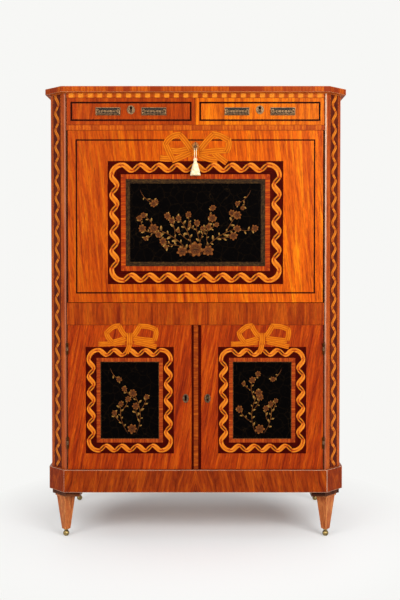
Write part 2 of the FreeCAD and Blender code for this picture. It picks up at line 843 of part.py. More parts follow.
door_levels = (case_base + size.panel_gap, rail_base - size.panel_gap)
door_back = front + size.door_thickness
stile_span = centred(size.stile_shift, size.stile_width)
door_far = open_half - size.hinge_gap
door_near = {"right": stile_span[1], "left": size.meeting_gap - stile_span[0]}
hinge_x = open_half - size.hinge_gap / 2
hinge_y = front - size.hinge_stand
door_key_z = door_levels[0] + size.door_key_height


def make_door(hand):
    """One door: its board, lacquer panel, escutcheon and hinge leaves."""
    side = 1 if hand == "right" else -1
    near = door_near[hand]

    def span(low, high):
        return (low, high) if side > 0 else (-high, -low)

    centre = (near + door_far) / 2 * side
    key_x = size.stile_shift + size.door_key_inset * side
    panel_low = door_levels[0] + size.door_panel_base
    panel_levels = (panel_low, panel_low + size.door_panel_height)
    panel_span = centred(centre, size.door_panel_width)
    panel_back = front + size.lacquer_thickness
    seat = board(f"door_{hand}_panel_seat", panel_span, (front - size.cut_overrun, panel_back), panel_levels)
    keyhole = make_keyhole(f"door_{hand}_keyway", key_x, door_key_z, (front, door_back))
    blank = board(f"door_{hand}_blank", span(near, door_far), (front, door_back), door_levels)
    node(cut(f"door_{hand}_board", blank, seat, *keyhole))
    node(board(f"door_{hand}_lacquer_panel", panel_span, (front, panel_back), panel_levels))
    brasses = [make_escutcheon(f"door_{hand}_escutcheon", key_x, door_key_z, size.door_oval_width)]
    for tag, height in hinge_places():
        leaf = make_leaf(f"door_leaf_{hand}_{tag}", height, True)
        brasses.append(leaf if side > 0 else mirror(f"door_leaf_{hand}_{tag}_turned", leaf))
    node(group(f"door_{hand}_brasses", *brasses))


def hinge_places():
    """Names and lower levels of the hinges of one door, each set in from its own end of the door."""
    return (("low", door_levels[0] + size.hinge_low - size.hinge_height / 2),
            ("high", door_levels[1] - size.hinge_high - size.hinge_height / 2))


def make_leaf(name, base, on_door):
    """One leaf of a right-hand butt hinge, with its own knuckles bored for the pin."""
    third = size.hinge_height / KNUCKLES
    inner = hinge_x - size.leaf_gap / 2
    outer = hinge_x + size.leaf_gap / 2
    span = (door_far, inner) if on_door else (outer, open_half)
    own = [1] if on_door else [0, 2]
    pieces = [board(f"{name}_plate", span, (front, front + size.leaf_depth),
                    (base, base + size.hinge_height))]
    for index in own:
        low = base + third * index + size.knuckle_gap / 2
        high = base + third * (index + 1) - size.knuckle_gap / 2
        pieces.append(board(f"{name}_web_{index}", span, (hinge_y, front), (low, high)))
        pieces.append(rod(f"{name}_knuckle_{index}", "z", (hinge_x, hinge_y, low), size.knuckle_radius,
                          high - low))
    bore = rod(f"{name}_bore", "z", (hinge_x, hinge_y, base - size.cut_overrun),
               size.hinge_pin_radius + size.run_gap, size.hinge_height + size.cut_overrun * 2)
    return cut(name, fuse(f"{name}_stock", *pieces), bore)


def make_hinges():
    """Hinge leaves on the posts and the hinge pins, for both doors."""
    items = []
    for tag, base in hinge_places():
        items.append(make_leaf(f"post_leaf_{tag}", base, False))
        items.append(rod(f"hinge_pin_{tag}", "z", (hinge_x, hinge_y, base), size.hinge_pin_radius,
                         size.hinge_height))
    node(group("door_hinges", *items, *[mirror(f"{item.Name}_left", item) for item in items]))


def make_meeting_stile():
    """The meeting stile, and the lock and bolt behind it."""
    stile = board("meeting_stile", stile_span, (front - size.stile_proud, door_back), door_levels)
    node(stile)
    depth = (door_back, door_back + size.lock_depth)
    lap = stile_span[0] + size.door_lock_lap
    case_span = (lap, lap + size.door_lock_width)
    levels = centred(door_key_z, size.lock_height)
    bolt_low = stile_span[0] + size.panel_gap
    bolt_span = (bolt_low, bolt_low + size.door_bolt_length)
    bolt_front = door_back + size.slide_gap
    bolt_depth = (bolt_front, bolt_front + size.bolt_depth)
    bolt_levels = centred(door_key_z, size.door_bolt_height)
    case = board("door_lock_blank", case_span, depth, levels)
    channel = board("door_channel", (bolt_low - size.cut_overrun, bolt_span[1] + size.fit_gap),
                    grown(bolt_depth, size.fit_gap), grown(bolt_levels, size.fit_gap))
    keyway = make_keyway("door_lock_keyway", size.stile_shift + size.door_key_inset, door_key_z,
                         size.keyhole_radius, depth)
    node(cut("door_lock", case, channel, keyway))
    node(board("door_bolt", bolt_span, bolt_depth, bolt_levels))


# Pigeonholes and small drawers behind the fall.

unit_half = open_half - size.unit_side_gap
unit_front = front + size.unit_setback
unit_depth = (unit_front, back_in)
unit_levels = (writing_top, drawer_base - size.deck_thickness)
column = (unit_half * 2 - size.unit_board * (COLUMNS + 1)) / COLUMNS
first_shelf = writing_top + size.small_bay_height
tier = (unit_levels[1] - first_shelf - size.unit_board * TIERS) / TIERS


def column_span(index):
    """Clear width of one column, counted from the left."""
    low = -unit_half + size.unit_board + (column + size.unit_board) * index
    return low, low + column


def make_pigeonholes():
    """Uprights the full height of the space, with shelves between them."""
    boards = []
    for index in range(COLUMNS + 1):
        low = -unit_half + (column + size.unit_board) * index
        boards.append(board(f"upright_{index}", (low, low + size.unit_board), unit_depth, unit_levels))
    for index in range(COLUMNS):
        for level in range(TIERS):
            low = first_shelf + (tier + size.unit_board) * level
            boards.append(board(f"pigeonhole_{index}_{level}", column_span(index), unit_depth,
                                (low, low + size.unit_board)))
    node(group("pigeonhole_boards", *boards))


def make_small_drawers():
    """The row of small drawers under the pigeonholes, each with a turned knob."""
    for index, tag in enumerate(("left", "centre", "right")):
        low, high = column_span(index)
        span = (low + size.small_gap, high - size.small_gap)
        base = writing_top + size.slide_gap
        wall = size.small_side
        face_back = unit_front + size.small_front
        depth = (face_back, back_in - size.small_rear_gap)
        levels = (base, base + size.small_side_height)
        inside = (span[0] + wall, span[1] - wall)
        floor = (base, base + size.small_bottom)
        pieces = [
            board(f"small_{tag}_front", span, (unit_front, face_back), (base, first_shelf - size.small_gap)),
            board(f"small_{tag}_side_low", (span[0], inside[0]), depth, levels),
            board(f"small_{tag}_side_high", (inside[1], span[1]), depth, levels),
            board(f"small_{tag}_back", inside, (depth[1] - wall, depth[1]), levels),
            board(f"small_{tag}_bottom", inside, (depth[0], depth[1] - wall), floor),
        ]
        node(group(f"small_drawer_{tag}", *pieces))
        centre = ((low + high) / 2, unit_front, (base + first_shelf) / 2)
        stem = rod(f"knob_stem_{tag}", "y", (centre[0], unit_front - size.knob_stem_length, centre[2]),
                   size.knob_stem_radius, size.knob_stem_length)
        grip = ball(f"knob_grip_{tag}", (centre[0], unit_front - size.knob_stem_length, centre[2]),
                    size.knob_radius)
        behind = board(f"knob_face_{tag}", centred(centre[0], size.knob_radius * 2),
                       (unit_front, unit_front + size.knob_radius), centred(centre[2], size.knob_radius * 2))
        node(cut(f"small_knob_{tag}", fuse(f"knob_turned_{tag}", stem, grip), behind))


def build():
    """Make every sub-part in the document."""
    make_top()
    make_posts()
    make_case_boards()
    make_plinth()
    make_legs()
    make_drawers()
    make_fall()
    make_tassel()
    make_door("left")
    make_door("right")
    make_meeting_stile()
    make_hinges()
    make_pigeonholes()
    make_small_drawers()
    doc.recompute()


def export():
    """Check every object, then write each sub-part to its own file."""
    failed = [item.Label for item in doc.Objects if {"Invalid", "Error"} & set(item.State)]
    if failed:
        raise RuntimeError(f"objects that failed: {failed}")
    for label, item in NODES.items():
        if item.Shape.isNull() or not item.Shape.isValid() or not item.Shape.Solids:
            raise RuntimeError(f"{label} has no valid solid")
    os.makedirs("parts", exist_ok=True)
    for label, item in NODES.items():
        item.Shape.exportStep(f"parts/{label}.step")
    print(f"{len(NODES)} sub-parts written")


build()
export()
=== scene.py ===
"""Looks of a satinwood escritoire with ribbon marquetry, lacquer panels and a fall front.

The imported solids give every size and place; this script gives them their veneers, inlay, metal and tassel.
"""
import logging
import math
import random
from dataclasses import dataclass, field, replace
from enum import Enum
from typing import Callable, Sequence

import bmesh
import bpy
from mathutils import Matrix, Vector


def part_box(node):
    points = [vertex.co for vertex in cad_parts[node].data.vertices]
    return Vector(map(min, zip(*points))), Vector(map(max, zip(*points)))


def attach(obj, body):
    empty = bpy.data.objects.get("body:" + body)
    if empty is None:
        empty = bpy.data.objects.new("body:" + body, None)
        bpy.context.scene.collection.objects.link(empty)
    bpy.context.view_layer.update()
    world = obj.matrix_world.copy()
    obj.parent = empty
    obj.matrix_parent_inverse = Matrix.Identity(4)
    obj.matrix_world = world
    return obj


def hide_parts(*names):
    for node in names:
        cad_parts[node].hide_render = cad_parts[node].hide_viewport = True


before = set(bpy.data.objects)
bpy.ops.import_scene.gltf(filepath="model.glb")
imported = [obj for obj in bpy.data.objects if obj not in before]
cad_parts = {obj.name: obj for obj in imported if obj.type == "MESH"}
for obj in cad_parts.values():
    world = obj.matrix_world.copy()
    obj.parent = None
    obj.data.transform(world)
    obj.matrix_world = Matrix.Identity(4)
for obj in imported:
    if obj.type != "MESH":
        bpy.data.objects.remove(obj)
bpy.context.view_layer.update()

LOG = logging.getLogger("escritoire")
MM = 0.001
SEED = 7
RAIL_SEED = SEED + 2
FRIEZE_SEED = SEED + 3
FALL_SEED = SEED + 4
RIGHT_SEED = SEED + 11
LEFT_SEED = SEED + 23
# Less than any length that is laid, so that rounding adds no sliver.
SLIVER = 1e-6
# Both parts of a direction at 45 degrees.
SLOPE = math.sqrt(0.5)
POLISH_IOR = 1.5
# Sockets of the colour mix, which share their names with the mixes of numbers and vectors.
MIX_SHARE, MIX_FIRST, MIX_SECOND, MIX_COLOUR = 0, 6, 7, 2

# Slots of the record.
WOOD = "satinwood"
METAL = "brass"
PANEL = "black_lacquer"

# How far each kind of inlay stands out of its face, in millimetres. What lies over another stands prouder.
TARNISH_MM = 0.1
KEYHOLE_MM = 0.12
GROUND_MM = 0.2
LEAF_MM = 0.24
BAND_MM = 0.26
PETAL_MM = 0.28
STRING_MM = 0.3
BLOCK_MM = 0.32
RETURN_MM = 0.34
HEART_MM = 0.34
CORNER_MM = 0.4
STROKE_MM = 0.45
BOW_MM = 0.5
CHASING_MM = 0.6
RIM_MM = 0.7

Point = tuple[float, float]
# Lower left and upper right corners of a rectangle.
Box = tuple[Point, Point]
Place = tuple[float, float, float]
Rows = list[list[Point]]
Shades = list[list[float]]
Shading = Callable[[float, float], float]
Colour = tuple[float, float, float, float]
Tree = bpy.types.NodeTree
Socket = bpy.types.NodeSocket


class Hand(Enum):
    """Left or right, seen from the front."""

    LEFT = -1
    RIGHT = 1

    @property
    def word(self) -> str:
        """The word that names of pieces use."""
        return self.name.lower()


def linear(hex_colour: str) -> Colour:
    """Turn an sRGB hex colour to linear light.

    Args:
        hex_colour: Six hex digits after a hash sign.

    Returns:
        Linear red, green, blue and an alpha of one.
    """
    parts = [int(hex_colour[i:i + 2], 16) / 255 for i in (1, 3, 5)]
    red, green, blue = [c / 12.92 if c <= 0.04045 else ((c + 0.055) / 1.055) ** 2.4 for c in parts]
    return red, green, blue, 1.0


def feed(tree: Tree, node: bpy.types.Node, inputs: dict) -> None:
    """Set or link inputs of a node.

    Args:
        tree: The node's tree.
        node: The node.
        inputs: Values or output sockets by input name or index.
    """
    for key, value in inputs.items():
        if isinstance(value, Socket):
            tree.links.new(value, node.inputs[key])
        else:
            node.inputs[key].default_value = value


def add(tree: Tree, kind: str, settings: dict | None = None, inputs: dict | None = None) -> bpy.types.Node:
    """Add a node with its settings and its input values or links.

    Args:
        tree: The tree that gets the node.
        kind: Blender's name of the node type.
        settings: Attributes to set on the node.
        inputs: Values or output sockets by input name or index.

    Returns:
        The new node.
    """
    node = tree.nodes.new(kind)
    for name, value in (settings or {}).items():
        setattr(node, name, value)
    feed(tree, node, inputs or {})
    return node


def ramp(tree: Tree, value: Socket, *stops: tuple[float, str]) -> Socket:
    """Turn a value to a colour.

    Args:
        tree: The tree that gets the node.
        value: The value.
        stops: Places and hex colours: the lowest, the highest, then those between.

    Returns:
        The colour.
    """
    node = add(tree, "ShaderNodeValToRGB", inputs={0: value})
    elements = node.color_ramp.elements
    for index, (place, colour) in enumerate(stops):
        stop = elements[index] if index < 2 else elements.new(place)
        stop.position = place
        stop.color = linear(colour)
    return node.outputs[0]


def mix(tree: Tree, share: float | Socket, first: Colour | Socket, second: Colour | Socket,
        blend: str = "MIX") -> Socket:
    """Mix two colours by the share of the second."""
    return add(tree, "ShaderNodeMix", {"data_type": "RGBA", "blend_type": blend},
               {MIX_SHARE: share, MIX_FIRST: first, MIX_SECOND: second}).outputs[MIX_COLOUR]


def remap(tree: Tree, value: Socket, low: float, high: float, start: float = 0.0,
          end: float = 1.0) -> Socket:
    """Spread a value that runs from start to end over the range from low to high."""
    return add(tree, "ShaderNodeMapRange", inputs={
        "Value": value, "From Min": start, "From Max": end, "To Min": low, "To Max": high}).outputs[0]


def calculate(tree: Tree, operation: str, *values: float | Socket) -> Socket:
    """Calculate with one or two numbers."""
    return add(tree, "ShaderNodeMath", {"operation": operation}, dict(enumerate(values))).outputs[0]


def per(size_mm: float) -> float:
    """How often a pattern of a size in millimetres fits in a metre."""
    return 1 / (size_mm * MM)


def noise(tree: Tree, place: Socket, size_mm: float, detail: float,
          roughness: float = 0.5) -> bpy.types.Node:
    """Cloudy noise over coordinates in metres; the roughness is the weight of its finer layers."""
    return add(tree, "ShaderNodeTexNoise", inputs={
        "Vector": place, "Scale": per(size_mm), "Detail": detail, "Roughness": roughness})


def relief(tree: Tree, height: Socket, strength: float, depth_mm: float) -> bpy.types.Node:
    """Relief too fine to model."""
    return add(tree, "ShaderNodeBump", inputs={
        "Strength": strength, "Distance": depth_mm * MM, "Height": height})


def object_place(tree: Tree) -> Socket:
    """Coordinates of the shared frame, in metres."""
    return add(tree, "ShaderNodeTexCoord").outputs["Object"]


def scorching(tree: Tree) -> Socket:
    """The darkening that a mesh carries at its points: scorching and tone on inlay, painted shade on the
    arris highlights and the tassel.
    """
    return add(tree, "ShaderNodeAttribute", {"attribute_name": "shade"}).outputs["Fac"]


def in_sight(tree: Tree) -> Socket:
    """One for what the camera sees, also in a reflection or through glass, and none for other light.

    Args:
        tree: The tree that gets the nodes.

    Returns:
        The socket that carries it.
    """
    path = add(tree, "ShaderNodeLightPath")
    seen = path.outputs["Is Camera Ray"]
    for kind in ("Is Glossy Ray", "Is Transmission Ray"):
        seen = calculate(tree, "MAXIMUM", seen, path.outputs[kind])
    return seen


def new_material(name: str) -> tuple[bpy.types.Material, Tree, bpy.types.Node]:
    """Start a material.

    Args:
        name: Its name.

    Returns:
        The material, its tree and its shader.
    """
    made = bpy.data.materials.new(name)
    made.use_nodes = True
    return made, made.node_tree, made.node_tree.nodes["Principled BSDF"]


def set_out(name: str, data: bpy.types.ID) -> bpy.types.Object:
    """Make an object and put it in the scene.

    Args:
        name: Name of the object.
        data: Its mesh, curve, light or camera.

    Returns:
        The object.
    """
    made = bpy.data.objects.new(name, data)
    bpy.context.scene.collection.objects.link(made)
    return made


def plain_mesh(name: str, form: bmesh.types.BMesh) -> bpy.types.Mesh:
    """Turn a built form to a mesh with its faces outwards.

    Args:
        name: Name of the mesh.
        form: The form, which is freed.

    Returns:
        The mesh.
    """
    bmesh.ops.recalc_face_normals(form, faces=form.faces)
    data = bpy.data.meshes.new(name)
    form.to_mesh(data)
    form.free()
    return data


class Grain(Enum):
    """Which way the grain of a veneer runs, and which coordinates it follows."""

    UPRIGHT = "up the piece"
    LENGTHWISE = "along the front"
    BOOK = "slanting, matched about the middle"
    BAND = "along an inlaid band"
    CROSS = "across an inlaid band"


@dataclass(frozen=True)
class Veneer:
    """A polished veneer: streaks along the grain, ripple across it, fine pores, and pale arrises, partly
    wear and partly painted highlight.

    Streaks and pores are drawn a little coarser than real ones, so that they show at the render's size.
    """

    name: str
    dark: str
    middle: str
    light: str
    grain: Grain = Grain.UPRIGHT
    streak_mm: float = 16.0
    run_mm: float = 260.0
    ripple_mm: float = 9.0
    ripple: float = 0.25
    pore_mm: float = 1.6
    slant: float = 0.0
    roughness: float = 0.34
    specular: float = 0.06
    arris_mm: float = 0.0
    # Colour of the arrises: wear, and painted highlight where the rounded arris catches the light.
    worn: str = "#D8A880"
    # Painted shade: how much darker the left side is.
    drift: float = 0.0
    # Colour at full darkening: scorching and tone on inlay, painted shade on the arris highlights of the
    # posts.
    scorched: str = ""

    # Places of the dark, light and middle tones along the streaks.
    STREAKS = (0.3, 0.72, 0.5)
    # Layers of noise and bend of the streaks, the ripple and the pores.
    STREAK_NOISE = (6.0, 0.9)
    RIPPLE_NOISE = (3.0, 1.6)
    PORE_NOISE = (2.0, 0.0)
    NOISE_WEIGHT = 0.62
    RIPPLES = ((0.3, "#8E8E8E"), (0.7, "#FFFFFF"))
    RIPPLE_ACROSS, RIPPLE_ALONG = 0.45, 4.5
    PORES = ((0.32, "#A08C84"), (0.48, "#FFFFFF"))
    PORE_LENGTH = 22
    PORE_SHARE = 0.7
    PORE_STRENGTH, PORE_DEPTH_MM = 0.16, 0.2
    # Roughness added in the pores and taken off between them.
    DULLER, GLOSSIER = 0.14, 0.06
    # Where painted shade runs from nothing at the right to full at the left, and its tint.
    DRIFT_SPAN = (0.4, -0.4)
    DRIFT_TINT = "#B08070"
    # Cosine between the rounded normal and the flat one, where the pale arris starts and where it is full.
    WEAR_SPAN = (0.985, 0.82)
    WEAR = 0.75
    ARRIS_RAYS = 6

    def stretch(self, across_mm: float, along_mm: float) -> Place:
        """Scales of a pattern that is short across the grain and long along it.

        Args:
            across_mm: Size of the pattern across the grain.
            along_mm: Size of the pattern along the grain.

        Returns:
            Scale along X, Y and Z, or along U, V and W.
        """
        across, along = per(across_mm), per(along_mm)
        if self.grain in (Grain.LENGTHWISE, Grain.BAND):
            return along, across, across
        if self.grain is Grain.CROSS:
            return across, along, across
        return across, across, along

    def coordinates(self, tree: Tree) -> Socket:
        """Coordinates in metres that the grain follows.

        Args:
            tree: The material's tree.

        Returns:
            The socket that carries them.
        """
        if self.grain in (Grain.BAND, Grain.CROSS):
            return add(tree, "ShaderNodeTexCoord").outputs["UV"]
        place = object_place(tree)
        if self.grain is Grain.BOOK:
            x, y, z = add(tree, "ShaderNodeSeparateXYZ", inputs={0: place}).outputs
            even = calculate(tree, "ABSOLUTE", x)
            place = add(tree, "ShaderNodeCombineXYZ", inputs={0: even, 1: y, 2: z}).outputs[0]
        if self.slant:
            place = add(tree, "ShaderNodeVectorRotate", {"rotation_type": "Y_AXIS"},
                        {"Vector": place, "Angle": math.radians(self.slant)}).outputs[0]
        return place

    def pattern(self, tree: Tree, place: Socket, across_mm: float, along_mm: float, layers: Point) -> Socket:
        """Noise stretched along the grain.

        Args:
            tree: The material's tree.
            place: Coordinates that the grain follows.
            across_mm: Size across the grain.
            along_mm: Size along the grain.
            layers: Number of finer layers, and bend.

        Returns:
            The noise.
        """
        laid = add(tree, "ShaderNodeMapping", inputs={
            "Vector": place, "Scale": self.stretch(across_mm, along_mm)})
        detail, bend = layers
        return add(tree, "ShaderNodeTexNoise", inputs={
            "Vector": laid.outputs[0], "Scale": 1.0, "Detail": detail, "Roughness": self.NOISE_WEIGHT,
            "Distortion": bend}).outputs[0]

    def rubbed(self, tree: Tree, colour: Socket, height: bpy.types.Node) -> Socket:
        """Paint the arrises pale, partly as wear and partly as painted highlight, and round them for the
        light.

        Args:
            tree: The material's tree.
            colour: The colour so far.
            height: The relief, which takes the rounded normal.

        Returns:
            The colour.
        """
        arris = add(tree, "ShaderNodeBevel", {"samples": self.ARRIS_RAYS}, {"Radius": self.arris_mm * MM})
        flat = add(tree, "ShaderNodeNewGeometry")
        turned = add(tree, "ShaderNodeVectorMath", {"operation": "DOT_PRODUCT"},
                     {0: arris.outputs[0], 1: flat.outputs["True Normal"]})
        feed(tree, height, {"Normal": arris.outputs[0]})
        pale_arris = remap(tree, turned.outputs["Value"], 0.0, self.WEAR, *self.WEAR_SPAN)
        return mix(tree, pale_arris, colour, linear(self.worn))

    def material(self) -> bpy.types.Material:
        """Build the veneer's material.

        Returns:
            The material.
        """
        made, tree, shader = new_material(self.name)
        place = self.coordinates(tree)
        streaks = ramp(tree, self.pattern(tree, place, self.streak_mm, self.run_mm, self.STREAK_NOISE),
                       *zip(self.STREAKS, (self.dark, self.light, self.middle)))
        short, long = self.ripple_mm * self.RIPPLE_ACROSS, self.ripple_mm * self.RIPPLE_ALONG
        ripple = ramp(tree, self.pattern(tree, place, short, long, self.RIPPLE_NOISE), *self.RIPPLES)
        pores = self.pattern(tree, place, self.pore_mm, self.pore_mm * self.PORE_LENGTH, self.PORE_NOISE)
        colour = mix(tree, self.ripple * 2, streaks, ripple, "MULTIPLY")
        colour = mix(tree, self.PORE_SHARE, colour, ramp(tree, pores, *self.PORES), "MULTIPLY")
        # Painted shade, darker towards the left.
        if self.drift:
            across = add(tree, "ShaderNodeSeparateXYZ", inputs={0: place}).outputs[0]
            level = remap(tree, across, 0.0, self.drift, *self.DRIFT_SPAN)
            colour = mix(tree, level, colour, linear(self.DRIFT_TINT), "MULTIPLY")
        if self.scorched:
            colour = mix(tree, scorching(tree), colour, linear(self.scorched))
        height = relief(tree, pores, self.PORE_STRENGTH, self.PORE_DEPTH_MM)
        # Pale arrises: wear and painted highlight.
        if self.arris_mm:
            colour = self.rubbed(tree, colour, height)
        feed(tree, shader, {
            "Base Color": colour,
            "Roughness": remap(tree, pores, self.roughness + self.DULLER, self.roughness - self.GLOSSIER),
            "Normal": height.outputs[0], "IOR": POLISH_IOR, "Specular IOR Level": self.specular})
        return made


@dataclass(frozen=True)
class Lacquer:
    """Old black lacquer: deep gloss, fine age cracks, and specks where the ground is rubbed."""

    name: str
    ground: str = "#020101"
    rubbed: str = "#42301C"
    crack_mm: float = 34.0
    speck_mm: float = 6.0
    wander_mm: float = 18.0
    wander: float = 0.012
    specular: float = 0.015
    gloss: Point = (0.2, 0.42)

    CRACKS = ((0.0, "#FFFFFF"), (0.012, "#000000"))
    CRACK_TONE = 0.22
    CRACK_STRENGTH, CRACK_DEPTH_MM = 0.25, 0.15
    SPECKS = ((0.6, "#000000"), (0.8, "#8A8A8A"))
    # Layers of noise in the wander of the cracks and in the specks, and the weight of the specks' layers.
    WANDER_LAYERS, SPECK_LAYERS, SPECK_WEIGHT = 3.0, 5.0, 0.7

    def material(self) -> bpy.types.Material:
        """Build the lacquer's material.

        Returns:
            The material.
        """
        made, tree, shader = new_material(self.name)
        place = object_place(tree)
        wander = noise(tree, place, self.wander_mm, self.WANDER_LAYERS)
        bent = add(tree, "ShaderNodeVectorMath", {"operation": "MULTIPLY_ADD"},
                   {0: wander.outputs["Color"], 1: (self.wander,) * 3, 2: place})
        cells = add(tree, "ShaderNodeTexVoronoi", {"feature": "DISTANCE_TO_EDGE"},
                    {"Vector": bent.outputs[0], "Scale": per(self.crack_mm)}).outputs[0]
        specks = noise(tree, place, self.speck_mm, self.SPECK_LAYERS, self.SPECK_WEIGHT).outputs[0]
        aged = add(tree, "ShaderNodeMath", {"operation": "MULTIPLY_ADD", "use_clamp": True}, {
            0: ramp(tree, cells, *self.CRACKS), 1: self.CRACK_TONE, 2: ramp(tree, specks, *self.SPECKS)})
        feed(tree, shader, {
            "Base Color": mix(tree, aged.outputs[0], linear(self.ground), linear(self.rubbed)),
            "Roughness": remap(tree, specks, *self.gloss),
            "Normal": relief(tree, cells, self.CRACK_STRENGTH, self.CRACK_DEPTH_MM).outputs[0],
            "IOR": POLISH_IOR, "Specular IOR Level": self.specular})
        return made


@dataclass(frozen=True)
class Patina:
    """Worked metal with a patina: bright where it is rubbed, dull and dark in the hollows."""

    name: str
    bright: str
    dull: str
    roughness: float = 0.36
    cloud_mm: float = 5.0
    rubbing: float = 0.52
    metallic: float = 1.0

    # Layers of the clouds and their weight.
    CLOUDS = (6.0, 0.65)
    DULL_BELOW, BRIGHT_ABOVE = 0.16, 0.12
    DULLER, GLOSSIER = 0.18, 0.1
    STRENGTH, DEPTH_MM = 0.2, 0.2

    def material(self) -> bpy.types.Material:
        """Build the metal's material.

        Returns:
            The material.
        """
        made, tree, shader = new_material(self.name)
        cloud = noise(tree, object_place(tree), self.cloud_mm, *self.CLOUDS).outputs[0]
        feed(tree, shader, {
            "Base Color": ramp(tree, cloud, (self.rubbing - self.DULL_BELOW, self.dull),
                               (self.rubbing + self.BRIGHT_ABOVE, self.bright)),
            "Roughness": remap(tree, cloud, self.roughness + self.DULLER, self.roughness - self.GLOSSIER),
            "Normal": relief(tree, cloud, self.STRENGTH, self.DEPTH_MM).outputs[0],
            "Metallic": self.metallic})
        return made


@dataclass(frozen=True)
class Soft:
    """A soft surface, leather or silk: mottled colour, a fine grain, a little sheen, and painted shade where
    its mesh carries it.
    """

    name: str
    dark: str
    light: str
    grain_mm: float
    roughness: float
    sheen: float
    bump: float = 0.3
    specular: float = 0.5

    # Size of the mottling against the grain, its layers, and the places of the dark and light tones.
    MOTTLE, LAYERS = 9, 5.0
    DARK_AT, LIGHT_AT = 0.2, 0.6
    DEPTH_MM = 0.2

    def material(self) -> bpy.types.Material:
        """Build the soft material.

        Returns:
            The material.
        """
        made, tree, shader = new_material(self.name)
        place = object_place(tree)
        mottle = noise(tree, place, self.grain_mm * self.MOTTLE, self.LAYERS).outputs[0]
        # Painted shade carried at the points darkens the mottle.
        mottle_in_shade = calculate(tree, "SUBTRACT", mottle, scorching(tree))
        grain = add(tree, "ShaderNodeTexVoronoi", inputs={"Vector": place, "Scale": per(self.grain_mm)})
        feed(tree, shader, {
            "Base Color": ramp(tree, mottle_in_shade, (self.DARK_AT, self.dark), (self.LIGHT_AT, self.light)),
            "Normal": relief(tree, grain.outputs[0], self.bump, self.DEPTH_MM).outputs[0],
            "Roughness": self.roughness, "Sheen Weight": self.sheen, "Specular IOR Level": self.specular})
        return made


Finish = Veneer | Lacquer | Patina | Soft


